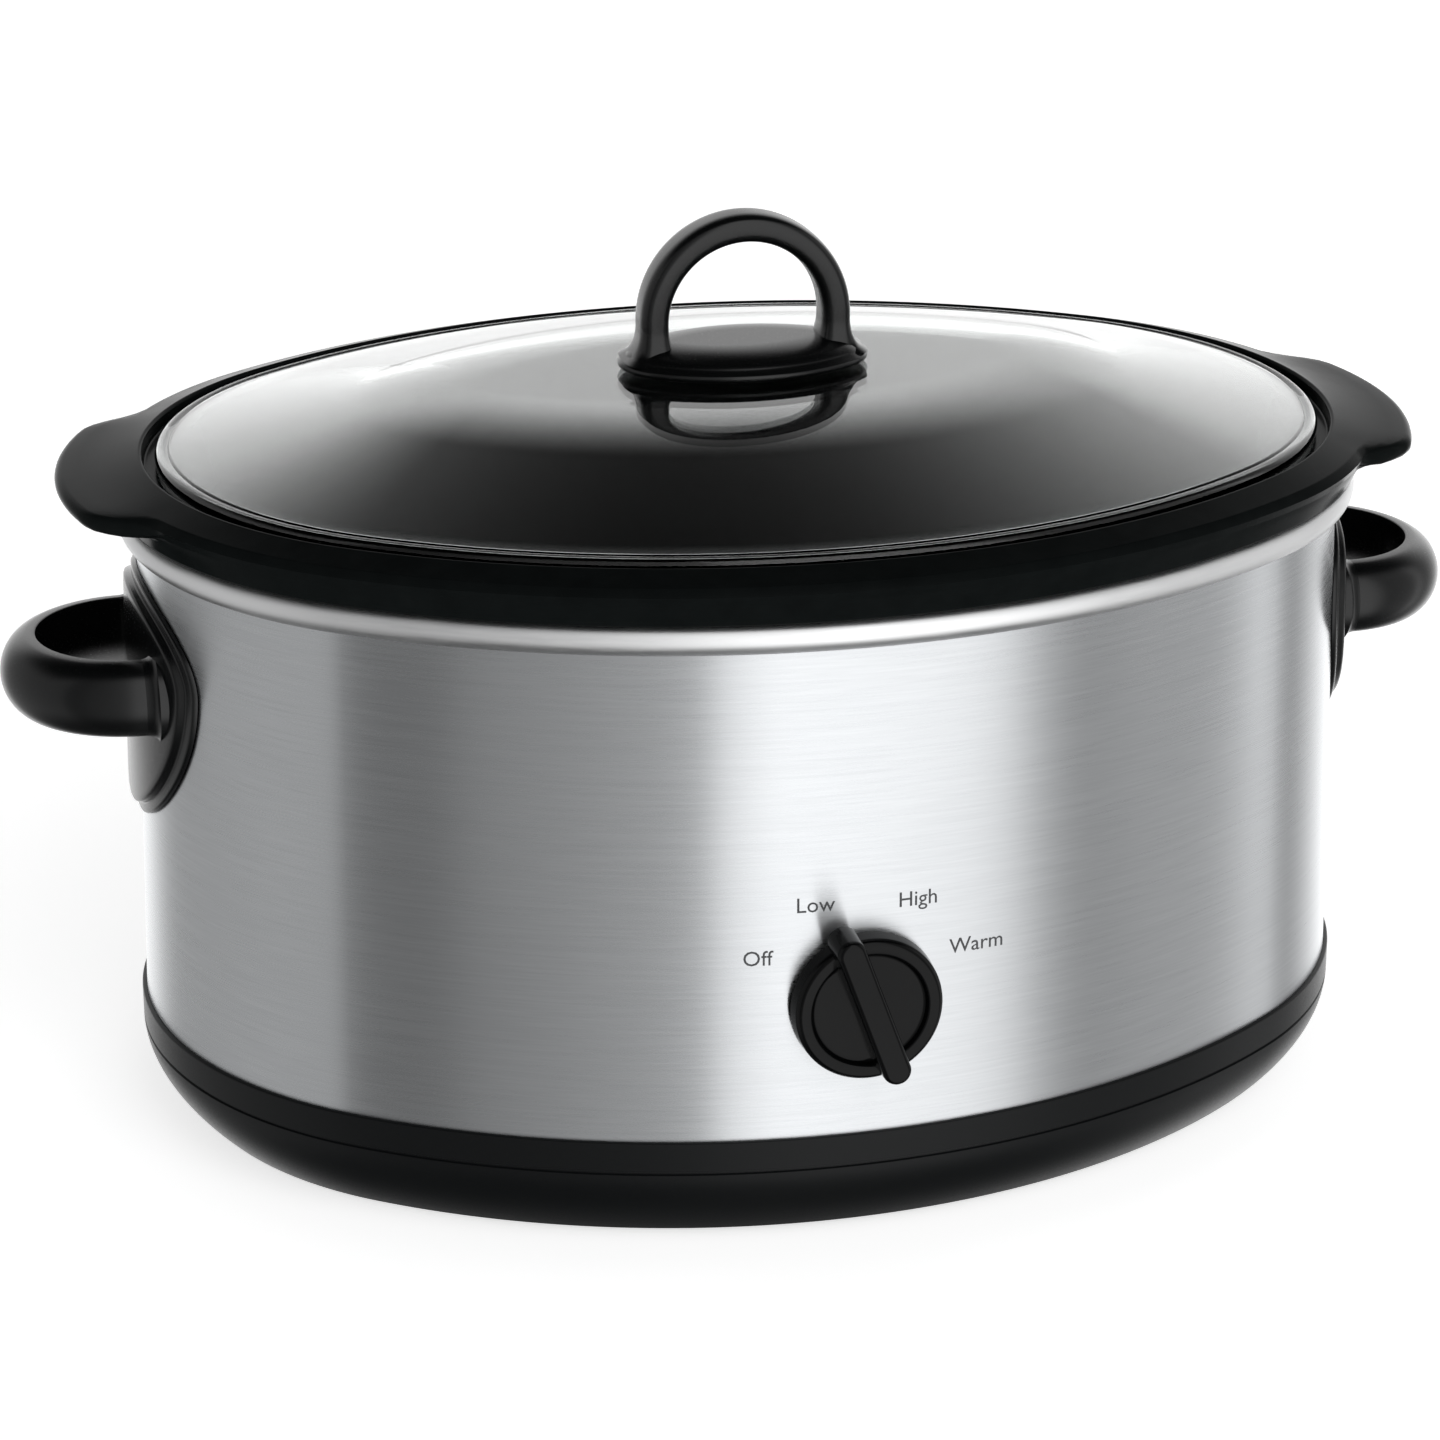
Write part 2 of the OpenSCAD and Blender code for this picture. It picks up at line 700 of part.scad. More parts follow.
module switch_nut() {
    color("#b3b5b6") on_front(control_z) difference() {
        translate([0, 0, nut_gap]) cylinder(r = 7.4, h = nut_h, $fn = 6);
        translate([0, 0, -1]) cylinder(r = bush_r + run_gap, h = 8);
    }
}

module switch_terminals() {
    color("#c7a86a") for (x = [-1, 0, 1]) translate([x * tab_x - 2.4, tab_y - 0.4, tab_top - tab_len])
        cube([4.8, 0.8, tab_len - slip]);
}

module detent_leaf() {
    back = housing_front - housing_d + 2;
    color("#c9cacb") on_front(control_z) {
        translate([-8, -4, back + slip]) cube([16, 8, 0.5]);
        translate([0, 0, back + 0.4]) cylinder(r = 2.5, h = 3.6);
    }
}

module spade_connectors() {
    color("#d8d4c4") for (x = [-1, 0, 1]) translate([x * tab_x, tab_y, tab_top - tab_len - 5]) difference() {
        translate([-3.1, -2, 0]) cube([6.2, 4, 9]);
        translate([-2.5, -0.5, 5]) cube([5, 1, 10]);
    }
}

// ---- Leads between the wrap and the liner ----

// A lead that follows the oval along the side at +X, from a place at the front to one at the back
module lead_run(z, front_x, back_x) {
    far = body_w;
    difference() {
        oval_sweep() translate([lead_o, z]) circle(lead_r);
        translate([front_x - far, -far, z - 5]) cube([far, far, 10]);
        translate([back_x - far, -0.01, z - 5]) cube([far, far, 10]);
    }
}

// Depth of a lead's run at a distance from the middle
function lead_y(x) = sqrt(pow(oval_side_r(body_w, body_d) + lead_o, 2) - x * x) - oval_side_c(body_w, body_d);

module lead_drop(x, y, z0, z1) {
    translate([x, y, z0]) {
        cylinder(r = lead_r, h = z1 - z0);
        sphere(bend_r);
    }
}

module front_drop(x, z) {
    lead_drop(x, tab_y, z, tab_bottom - slip);
}

module live_lead() {
    cap_x = 16;
    color("#2f2f30") {
        lead_run(lead_z, tab_x, cap_x);
        front_drop(tab_x, lead_z);
        lead_drop(cap_x, lead_y(cap_x), lead_z, gland_level - 6 - slip);
    }
}

module band_lead(x, z, front) {
    y = lead_y(x);
    up = spring_levels[0];
    mirror([1, 0, 0]) {
        lead_run(z, front, x);
        lead_drop(x, y, z, up);
        translate([x, y, up]) sphere(bend_r);
        translate([x, y, up]) rotate([90, 0, 0]) cylinder(r = lead_r, h = y - spring_y(up) + spring_r + 0.8);
    }
    front_drop(-front, z);
}

module low_lead() { color("#8c3b35") band_lead(34, lead_z, tab_x); }
module high_lead() { color("#b7b2a4") band_lead(24, lead_z - 4, 0); }

module neutral_lead() {
    x = 16;
    y = lead_y(x);
    up = spring_levels[0];
    color("#dedcd4") {
        lead_drop(-x, y, gland_level - 10, gland_level - 6 - slip);
        translate([-x, y, gland_level - 10]) rotate([90, 0, 0]) cylinder(r = lead_r, h = 9);
        translate([-x, y - 9, gland_level - 10]) {
            rotate([0, 0, 225]) sphere(bend_r);
            rotate([0, 90, 0]) cylinder(r = lead_r, h = 7 - slip);
        }
    }
}

module thermal_cutout() {
    y = lead_y(16) - 9;
    color("#c9cacb") translate([-9, y, gland_level - 10]) rotate([0, 90, 0]) {
        cylinder(r = 2, h = 18);
        translate([0, 0, 4]) cylinder(r = 3, h = 10);
    }
}

module splice_caps() {
    color("#d9d2bd") for (s = [-1, 1]) translate([s * 16, lead_y(16), gland_level - 6])
        cylinder(r1 = 4.4, r2 = 3, h = 14);
}

module cord_gland() {
    out = 0.4;
    flange_h = 2.6;
    color("#1d1f20") translate([0, gland_y, gland_level]) rotate([-90, 0, 0]) difference() {
        union() {
            translate([0, 0, out]) cylinder(r1 = cord_hole_r + 5, r2 = cord_hole_r + 4, h = flange_h);
            translate([0, 0, out + flange_h])
                cylinder(r1 = cord_hole_r + 2.6, r2 = cord_hole_r + 1.4, h = gland_out);
            translate([0, 0, -7]) cylinder(r = cord_hole_r + 2, h = 8);
        }
        translate([0, 0, -8]) cylinder(r = cord_hole_r, h = gland_out + 13);
    }
}

module gland_nut() {
    color("#e4e2da") translate([0, gland_y, gland_level]) rotate([-90, 0, 0]) difference() {
        translate([0, 0, -4.8]) cylinder(r = cord_hole_r + 5, h = 3.4, $fn = 6);
        translate([0, 0, -8]) cylinder(r = cord_hole_r + 2 + run_gap, h = 10);
    }
}

stoneware_insert();
glass_lid();
lid_handle();
lid_gasket();
lid_washer();
lid_screw();
outer_wrap();
heating_liner();
liner_stud();
heater_band();
band_springs();
thermal_cutout();
heat_shield();
moulded_base();
base_washer();
base_nut();
rubber_feet();
left_handle();
right_handle();
left_handle_screws();
right_handle_screws();
control_knob();
knob_clip();
switch_shaft();
switch_housing();
switch_cover();
switch_nut();
switch_terminals();
detent_leaf();
spade_connectors();
live_lead();
low_lead();
high_lead();
neutral_lead();
splice_caps();
cord_gland();
gland_nut();
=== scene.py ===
import math

import bmesh
import bpy
import numpy as np
from mathutils import Matrix, Vector


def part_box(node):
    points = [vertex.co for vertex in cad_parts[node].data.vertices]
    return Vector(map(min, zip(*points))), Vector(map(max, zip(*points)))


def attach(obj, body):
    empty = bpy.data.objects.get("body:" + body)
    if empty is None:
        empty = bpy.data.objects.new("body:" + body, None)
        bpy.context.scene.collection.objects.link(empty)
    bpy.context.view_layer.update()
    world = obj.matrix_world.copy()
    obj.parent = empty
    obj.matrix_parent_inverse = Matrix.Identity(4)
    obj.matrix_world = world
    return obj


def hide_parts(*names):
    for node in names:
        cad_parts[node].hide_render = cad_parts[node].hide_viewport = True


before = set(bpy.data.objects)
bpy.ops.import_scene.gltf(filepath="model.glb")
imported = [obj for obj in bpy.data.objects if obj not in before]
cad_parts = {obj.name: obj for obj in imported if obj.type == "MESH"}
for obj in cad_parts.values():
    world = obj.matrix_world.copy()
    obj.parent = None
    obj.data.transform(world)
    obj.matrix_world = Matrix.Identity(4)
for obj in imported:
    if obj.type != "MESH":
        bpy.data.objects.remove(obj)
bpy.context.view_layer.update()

scene = bpy.context.scene

# ---- Camera ----
# A long lens on a stand in front of the cooker, a little to its left and above its lid,
# level and with no tilt to either side, so that the whole cooker fills the frame.
view_turn = math.radians(-13.92)
view_rise = math.radians(20.91)
view_distance = 1.2256
aim_right, aim_up, aim_rise = -0.0063, 0.0919, 0.002
lens_length = 104.74
view_back = Vector((math.sin(view_turn) * math.cos(view_rise),
                    -math.cos(view_turn) * math.cos(view_rise), math.sin(view_rise)))
view_right = Vector((math.cos(view_turn), math.sin(view_turn), 0))
view_up = view_back.cross(view_right)
aim = view_right * aim_right + view_up * aim_up + Vector((0, 0, aim_rise))
camera = bpy.data.objects.new("camera", bpy.data.cameras.new("camera"))
camera.data.lens = lens_length
camera.location = aim + view_back * view_distance
camera.rotation_mode = "QUATERNION"
camera.rotation_quaternion = (-view_back).to_track_quat("-Z", "Y")
scene.collection.objects.link(camera)
scene.camera = camera
scene.view_settings.view_transform = "Standard"

# ---- Shared sizes and helpers ----
# The whole cooker is drawn from one oval, in mm, at set distances outside or inside it. The
# functions here make rings round that oval, closed skins, finishes and finished pieces.
body_w = 336
body_d = 252
wrap_flare = 3.4
wrap_top = 167
base_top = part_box("moulded_base")[1].z * 1000
base_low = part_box("moulded_base")[0].z * 1000
lip_offset = wrap_flare + 1.3


def wrap_offset(z):
    """How far the steel wrap stands outside the plan oval at a height, in mm."""
    return wrap_flare * (wrap_top - z) / (wrap_top - base_top)


def oval_plan(width, depth, end_steps=60, side_steps=66):
    """An oval of four arcs: at each station its arc's centre and radius, and the way it faces."""
    end_c, side_c = 0.75 * (width - depth), width - depth
    end_r, side_r = width / 2 - end_c, width - depth / 2
    meet = math.degrees(math.atan2(0.8, 0.6))
    arcs = [(-meet, meet, end_c, 0, end_r, end_steps),
            (meet, 180 - meet, 0, -side_c, side_r, side_steps),
            (180 - meet, 180 + meet, -end_c, 0, end_r, end_steps),
            (180 + meet, 360 - meet, 0, side_c, side_r, side_steps)]
    stations = []
    for start, stop, x, y, radius, steps in arcs:
        for turn in np.radians(np.linspace(start, stop, steps, endpoint=False)):
            stations.append((x, y, radius, math.cos(turn), math.sin(turn)))
    return np.array(stations)


def oval_ring(plan, offset, height):
    """One ring of points round an oval, at an offset and a height that may vary along it."""
    reach = plan[:, 2] + offset
    across = plan[:, 0] + reach * plan[:, 3]
    along = plan[:, 1] + reach * plan[:, 4]
    return np.stack([across, along, np.broadcast_to(height, reach.shape)], 1)


def shell(rings, loop=False):
    """The points and faces of a closed skin through rings of points, in mm."""
    count, around = len(rings), len(rings[0])
    faces = []
    for i in range(count if loop else count - 1):
        here, after = i * around, (i + 1) % count * around
        faces += [(here + j, here + (j + 1) % around, after + (j + 1) % around, after + j)
                  for j in range(around)]
    if not loop:
        faces += [tuple(range(around)), tuple(range((count - 1) * around, count * around))]
    return np.concatenate(rings), faces


def swept(plan, outline, loop=False):
    """A closed skin that carries an outline of offsets and heights round an oval."""
    return shell([oval_ring(plan, offset, height) for offset, height in outline], loop)


def rod(radius, start, stop, sides=48):
    """A round bar between two points."""
    start, stop = Vector(start), Vector(stop)
    aside = (stop - start).orthogonal().normalized()
    other = (stop - start).normalized().cross(aside)
    turns = np.linspace(0, 2 * math.pi, sides, endpoint=False)
    ring = np.array([aside * math.cos(t) * radius + other * math.sin(t) * radius for t in turns])
    return shell([ring + np.array(start), ring + np.array(stop)])


def smoothed(mesh, sharp=38):
    """Rounds a mesh's shading everywhere but at edges sharper than an angle in degrees."""
    mesh.shade_smooth()
    mesh.set_sharp_from_angle(angle=math.radians(sharp))
    return mesh


def placed(name, data):
    """Adds a new object to the scene."""
    made = bpy.data.objects.new(name, data)
    scene.collection.objects.link(made)
    return made


def plain_mesh(made):
    """An object's mesh as its modifiers leave it."""
    return bpy.data.meshes.new_from_object(made.evaluated_get(bpy.context.evaluated_depsgraph_get()))


def piece_of(name, *shells, sharp=38, place=None):
    """Joins closed skins into one object in metres, with its faces turned outwards."""
    points, faces = [], []
    for shell_points, shell_faces in shells:
        faces += [tuple(i + len(points) for i in face) for face in shell_faces]
        points += (shell_points * 0.001).tolist()
    mesh = bpy.data.meshes.new(name)
    mesh.from_pydata(points, [], faces)
    work = bmesh.new()
    work.from_mesh(mesh)
    bmesh.ops.remove_doubles(work, verts=work.verts, dist=1e-6)
    if place is not None:
        bmesh.ops.transform(work, matrix=place, verts=work.verts)
    bmesh.ops.recalc_face_normals(work, faces=work.faces)
    work.to_mesh(mesh)
    work.free()
    return placed(name, smoothed(mesh, sharp))


def baked(made, sharp=38):
    """Applies an object's modifiers, so that only a plain mesh is left."""
    mesh = plain_mesh(made)
    made.modifiers.clear()
    made.data = smoothed(mesh, sharp)
    return made


def cut_out(made, cutter):
    """Cuts one object's shape out of another, and throws the cutter away."""
    hole = made.modifiers.new("hole", "BOOLEAN")
    hole.operation = "DIFFERENCE"
    hole.solver = "EXACT"
    hole.object = cutter
    baked(made)
    bpy.data.objects.remove(cutter)
    return made


def linear(code):
    """An sRGB hex colour as linear red, green, blue and alpha."""
    parts = [int(code[i:i + 2], 16) / 255 for i in (1, 3, 5)]
    return (*[c / 12.92 if c <= 0.04045 else ((c + 0.055) / 1.055) ** 2.4 for c in parts], 1)


def add_node(tree, kind, inputs=None, **settings):
    """Adds a node; inputs hold a value or another node's output for each socket."""
    made = tree.nodes.new(kind)
    for key, value in settings.items():
        setattr(made, key, value)
    for key, value in (inputs or {}).items():
        if isinstance(value, bpy.types.NodeSocket):
            tree.links.new(value, made.inputs[key])
        else:
            made.inputs[key].default_value = value
    return made


def new_finish(name, **sockets):
    """A material with one surface shader, whose steady values are set on its own sockets."""
    material = bpy.data.materials.new(name)
    material.use_nodes = True
    material.node_tree.nodes.clear()
    surface = add_node(material.node_tree, "ShaderNodeBsdfPrincipled", sockets)
    add_node(material.node_tree, "ShaderNodeOutputMaterial", {"Surface": surface.outputs[0]})
    return material, material.node_tree, surface


def grained(name, dark, light, roughness, grain, relief, spread=0.06, stretch=(1, 1, 1), **sockets):
    """A finish whose colour, gloss and fine relief all follow one grain, sized in mm."""
    material, tree, surface = new_finish(name, **sockets)
    where = add_node(tree, "ShaderNodeTexCoord").outputs["Object"]
    scaled = add_node(tree, "ShaderNodeMapping", {"Vector": where, "Scale": stretch})
    noise = add_node(tree, "ShaderNodeTexNoise", {"Vector": scaled.outputs[0], "Scale": 1000 / grain,
                                                  "Detail": 4.0, "Roughness": 0.6})
    tone = add_node(tree, "ShaderNodeMix", {"Factor": noise.outputs[0]}, data_type="RGBA")
    tone.inputs[6].default_value = linear(dark)
    tone.inputs[7].default_value = linear(light)
    gloss = add_node(tree, "ShaderNodeMapRange", {"Value": noise.outputs[0], "From Min": 0.3,
                                                  "From Max": 0.7, "To Min": roughness - spread,
                                                  "To Max": roughness + spread})
    bump = add_node(tree, "ShaderNodeBump", {"Height": noise.outputs[0], "Strength": 0.5,
                                             "Distance": relief * 0.001})
    tree.links.new(tone.outputs[2], surface.inputs["Base Color"])
    tree.links.new(gloss.outputs[0], surface.inputs["Roughness"])
    tree.links.new(bump.outputs[0], surface.inputs["Normal"])
    return material


def fit(made, body, material, slot, *nodes):
    """Finishes a piece: even shading, its material, the body it rides on and the nodes it stands for."""
    even = made.modifiers.new("even_shading", "WEIGHTED_NORMAL")
    even.keep_sharp = True
    made.data.materials.clear()
    made.data.materials.append(material)
    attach(made, body)
    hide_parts(*nodes)
    return made


def grown(name, tree, settings):
    """Runs a tree of geometry nodes once, with its named inputs set, and keeps the plain mesh."""
    holder = placed(name, bpy.data.meshes.new(name))
    run = holder.modifiers.new(name, "NODES")
    run.node_group = tree
    sockets = {item.name: item.identifier for item in tree.interface.items_tree if item.in_out == "INPUT"}
    for key, value in settings.items():
        run[sockets[key]] = value
    mesh = plain_mesh(holder)
    bpy.data.objects.remove(holder)
    return mesh


def node_inputs(tree, **kinds):
    """Names a tree's inputs and its one output, and returns the input node's sockets by name."""
    for key, kind in kinds.items():
        tree.interface.new_socket(name=key, in_out="INPUT", socket_type=kind)
    tree.interface.new_socket(name="mesh", in_out="OUTPUT", socket_type="NodeSocketGeometry")
    return add_node(tree, "NodeGroupInput").outputs


# ---- Moulded base ----
# A shallow black tray of moulded polypropylene that carries the whole cooker. A shouldered lip
# takes the steel wrap, a fine groove runs under it, and the sides tuck in towards the table.

# Moulded polypropylene: near black, satin, with the faint sparkle of a fine spark-eroded mould.
satin_moulding = grained("moulded_polypropylene", "#090a0b", "#101213", 0.36, 0.5, 0.012,
                         **{"Specular IOR Level": 0.15})

plan = oval_plan(body_w, body_d)
groove_z = base_top - 8.2
ledge_z = base_top - 6
tuck_top = groove_z - 1
tuck = 12.4
wall = 2.6
tray_low, tray_high = base_low + 8, base_low + 11


def tuck_offset(z):
    """The base's outside, which curves in towards the table."""
    return lip_offset - tuck * ((tuck_top - z) / (tuck_top - base_low)) ** 1.8


outside = [(tuck_offset(z), z) for z in np.linspace(base_low + 0.6, tuck_top, 18)]
inside = [(tuck_offset(z) - wall, z) for z in np.linspace(tray_low, base_low + 0.5, 6)]
outline = [(-15, tray_low), *inside, (inside[-1][0] + 0.5, base_low), (outside[0][0] - 0.6, base_low),
           *outside, (lip_offset - 0.5, groove_z - 0.7), (lip_offset - 0.5, groove_z - 0.3),
           (lip_offset, groove_z), (lip_offset, base_top - 0.5), (lip_offset - 0.15, base_top - 0.15),
           (lip_offset - 0.5, base_top), (wrap_offset(base_top) + 0.1, base_top),
           (wrap_offset(ledge_z) + 0.1, ledge_z), (lip_offset - 4.6, ledge_z),
           (lip_offset - 4.6, tuck_top), (tuck_offset(tray_high) - wall, tray_high), (-15, tray_high)]
foot_x, foot_y = 108, 56
boss_r = 10
foot_places = [(x, y) for x in (-foot_x, foot_x) for y in (-foot_y, foot_y)]
bosses = [rod(boss_r, (x, y, base_low + 1), (x, y, tray_low + 1)) for x, y in foot_places]
bosses.append(rod(boss_r, (0, 0, base_low + 6), (0, 0, tray_low + 1)))
base_shell = piece_of("base_shell", swept(plan, outline), *bosses)

# Two rows of vent slots in each half let the warm air under the liner out (in metres).
slot_pitch = 0.018
slot_width, slot_length, slot_depth = 0.004, 0.018, 0.008
block_step_x, block_step_y = 0.072, 0.060
slots = bpy.data.node_groups.new("vent_slots", "GeometryNodeTree")
given = node_inputs(slots, spacing="NodeSocketFloat", width="NodeSocketFloat",
                    length="NodeSocketFloat", material="NodeSocketMaterial")
step = add_node(slots, "ShaderNodeCombineXYZ", {"X": given["spacing"]})
row = add_node(slots, "GeometryNodeMeshLine", {"Count": 3, "Offset": step.outputs[0]})
blocks = add_node(slots, "GeometryNodeMeshGrid", {"Size X": block_step_x, "Size Y": block_step_y,
                                                  "Vertices X": 2, "Vertices Y": 2})
rows = add_node(slots, "GeometryNodeInstanceOnPoints", {"Points": blocks.outputs[0],
                                                        "Instance": row.outputs[0]})
places = add_node(slots, "GeometryNodeRealizeInstances", {0: rows.outputs[0]})
size = add_node(slots, "ShaderNodeCombineXYZ", {"X": given["width"], "Y": given["length"],
                                               "Z": slot_depth})
bar = add_node(slots, "GeometryNodeMeshCube", {"Size": size.outputs[0]})
bars = add_node(slots, "GeometryNodeInstanceOnPoints", {"Points": places.outputs[0],
                                                        "Instance": bar.outputs[0]})
real = add_node(slots, "GeometryNodeRealizeInstances", {0: bars.outputs[0]})
dressed = add_node(slots, "GeometryNodeSetMaterial", {0: real.outputs[0], "Material": given["material"]})
add_node(slots, "NodeGroupOutput", {0: dressed.outputs[0]})
slot_mesh = grown("vent_slots", slots, {"spacing": slot_pitch, "width": slot_width,
                                        "length": slot_length, "material": satin_moulding})
slot_mesh.transform(Matrix.Translation((-slot_pitch, 0, (tray_low + tray_high) * 0.0005)))
vent_cutter = placed("vent_cutter", slot_mesh)
cut_out(base_shell, vent_cutter)
fit(base_shell, "housing", satin_moulding, "black_phenolic", "moulded_base")

# ---- Feet, clamping stud and heat shield ----
# Four turned rubber feet are pushed into the base. One threaded stud welded under the liner
# passes through a thin bright shield and the base, and a washer and nut pull it all together.


def tidied(node, name, bevel):
    """A copy of a small part with its flats joined and its edges broken by a bevel in mm."""
    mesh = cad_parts[node].data.copy()
    work = bmesh.new()
    work.from_mesh(mesh)
    bmesh.ops.remove_doubles(work, verts=work.verts, dist=1e-6)
    bmesh.ops.dissolve_limit(work, angle_limit=math.radians(1), verts=work.verts, edges=work.edges)
    work.to_mesh(mesh)
    work.free()
    made = placed(name, mesh)
    edge = made.modifiers.new("broken_edges", "BEVEL")
    edge.width = bevel * 0.001
    edge.segments = 2
    edge.limit_method = "ANGLE"
    edge.angle_limit = math.radians(35)
    return baked(made)


def dress(material, *nodes):
    """Gives parts that keep their own mesh a better material."""
    for node in nodes:
        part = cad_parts[node]
        for place in part.material_slots:
            place.material = material


# Natural rubber: dull black, slightly dusty, with no clear highlight.
foot_rubber = grained("moulded_rubber", "#1b1b1b", "#262524", 0.78, 0.8, 0.03)
# Zinc-plated steel: pale blue-white metal with a soft cloudy shine.
zinc_plate = grained("zinc_plated_steel", "#a9adb0", "#c9cccd", 0.30, 1.5, 0.004, Metallic=1.0)
# Aluminised steel sheet: matt, pale and a little mottled by its dipped coat.
aluminised = grained("aluminised_steel", "#a6a8aa", "#bfc1c2", 0.42, 3.0, 0.006, Metallic=1.0)
fit(tidied("rubber_feet", "feet", 0.4), "housing", foot_rubber, "silicone", "rubber_feet")
fit(tidied("base_washer", "clamp_washer", 0.15), "housing", zinc_plate, "zinc_steel", "base_washer")
fit(tidied("base_nut", "clamp_nut", 0.25), "housing", zinc_plate, "zinc_steel", "base_nut")
dress(zinc_plate, "liner_stud")
dress(aluminised, "heat_shield")

# ---- Heating liner ----
# One deep-drawn pan of aluminised steel with a flat flange that ends in a rolled bead. The bead
# is linished bright, closes the top of the wrap, and carries the stoneware.
rim_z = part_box("heating_liner")[1].z * 1000
bead_r = 4.15
bead_proud = 4.9
sheet = 0.8
liner_floor = rim_z - 132.3
corner = 18
bead_o = bead_proud - bead_r
bead_z = rim_z - bead_r
draft = 0.218
pot_under = rim_z + 0.3


def pot_offset(z):
    """The stoneware's tapering outside."""
    return -9.5 - draft * (pot_under - z)


def liner_offset(z):
    """The liner's outside, which follows the stoneware."""
    return pot_offset(z) + 3.3


def arc(x, y, radius_x, radius_y, start, stop, steps=8):
    """Points along part of an ellipse, between two angles in degrees."""
    turns = np.radians(np.linspace(start, stop, steps + 1))
    return list(zip(x + radius_x * np.cos(turns), y + radius_y * np.sin(turns)))


bend_z = liner_floor + corner
bend_o = liner_offset(bend_z) - sheet - corner
roll_end = -205
outline = ([(bend_o - 4, liner_floor - sheet)]
           + arc(bend_o, bend_z, corner + sheet, corner + sheet, -90, 0, 10)
           + [(liner_offset(rim_z - 4), rim_z - 4), (liner_offset(rim_z - sheet) + 0.3, rim_z - sheet)]
           + arc(bead_o, bead_z, bead_r - sheet, bead_r - sheet, 90, roll_end, 26)
           + arc(bead_o, bead_z, bead_r, bead_r, roll_end, 90, 30)
           + [(liner_offset(rim_z) - sheet + 0.5, rim_z), (liner_offset(rim_z) - sheet, rim_z - 0.5)]
           + arc(bend_o, bend_z, corner, corner, 0, -90, 10) + [(bend_o - 4, liner_floor)])
liner = piece_of("liner_pan", swept(plan, outline))

# Drawn and linished sheet: bright satin silver on the bead, a little cloudier down the wall.
linished = grained("linished_steel", "#e6e7e8", "#f4f4f4", 0.46, 0.9, 0.004, 0.05,
                   stretch=(0.06, 0.06, 1), Metallic=1.0)
fit(liner, "housing", linished, "liner_steel", "heating_liner")

# ---- Heater band and springs ----
# A flat heating element sewn between mica cloth is wrapped round the liner. Two close-wound
# springs pull its folded ends together so that it stays tight as it warms.
# Mica cloth: warm grey-brown, dull, with a coarse woven mottle.
mica = grained("mica_cloth", "#75685a", "#a39682", 0.62, 1.2, 0.08)
dress(mica, "heater_band")
coils = bpy.data.node_groups.new("coil_spring", "GeometryNodeTree")
given = node_inputs(coils, turns="NodeSocketFloat", radius="NodeSocketFloat", wire="NodeSocketFloat",
                    length="NodeSocketFloat", material="NodeSocketMaterial")
helix = add_node(coils, "GeometryNodeCurveSpiral",
                 {"Resolution": 24, "Rotations": given["turns"], "Start Radius": given["radius"],
                  "End Radius": given["radius"], "Height": given["length"]})
round_wire = add_node(coils, "GeometryNodeCurvePrimitiveCircle",
                      {"Resolution": 10, "Radius": given["wire"]})
coil = add_node(coils, "GeometryNodeCurveToMesh", {"Curve": helix.outputs[0],
                                                   "Profile Curve": round_wire.outputs[0],
                                                   "Fill Caps": True})
real = add_node(coils, "GeometryNodeRealizeInstances", {0: coil.outputs[0]})
dressed = add_node(coils, "GeometryNodeSetMaterial", {0: real.outputs[0], "Material": given["material"]})
add_node(coils, "NodeGroupOutput", {0: dressed.outputs[0]})
spring_low, spring_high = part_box("band_springs")
spring_r = 0.003
wire_r = 0.0006
spring_turns = 17.0
spring_length = spring_high.x - spring_low.x
spring_mesh = grown("spring", coils, {"turns": spring_turns, "radius": spring_r - wire_r,
                                      "wire": wire_r, "length": spring_length - 2 * wire_r,
                                      "material": zinc_plate})
spring_work = bmesh.new()
for y, z in ((spring_low.y + spring_r, spring_low.z + spring_r),
             (spring_high.y - spring_r, spring_high.z - spring_r)):
    one = spring_mesh.copy()
    one.transform(Matrix.Translation((spring_low.x + wire_r, y, z)) @ Matrix.Rotation(math.pi / 2, 4, "Y"))
    spring_work.from_mesh(one)
bmesh.ops.recalc_face_normals(spring_work, faces=spring_work.faces)
spring_work.to_mesh(spring_mesh)
spring_work.free()
springs = placed("tension_springs", smoothed(spring_mesh))
fit(springs, "housing", zinc_plate, "zinc_steel", "band_springs")

# ---- Thermal cut-out and leads ----
# Silicone-sleeved leads run between the wrap and the liner, from the splices at the back to the
# switch at the front, with a one-shot thermal cut-out in the neutral line.
# Sleeved wire: smooth, slightly soft to the touch, each in its own plain colour.
sleeve_colours = {"live_lead": ("#232324", "#2d2d2e"), "low_lead": ("#7c2f2a", "#8f3d37"),
                  "high_lead": ("#a09b8d", "#b5b0a2"), "neutral_lead": ("#cfcdc5", "#e0ded6")}
for lead, (dark, light) in sleeve_colours.items():
    dress(grained(lead + "_silicone_sleeve", dark, light, 0.48, 0.6, 0.01), lead)
# Nylon: milky off-white, faintly waxy.
nylon = grained("natural_nylon", "#cfc8b4", "#ded8c6", 0.45, 1.0, 0.01)
dress(nylon, "splice_caps", "spade_connectors", "gland_nut")
dress(zinc_plate, "thermal_cutout")

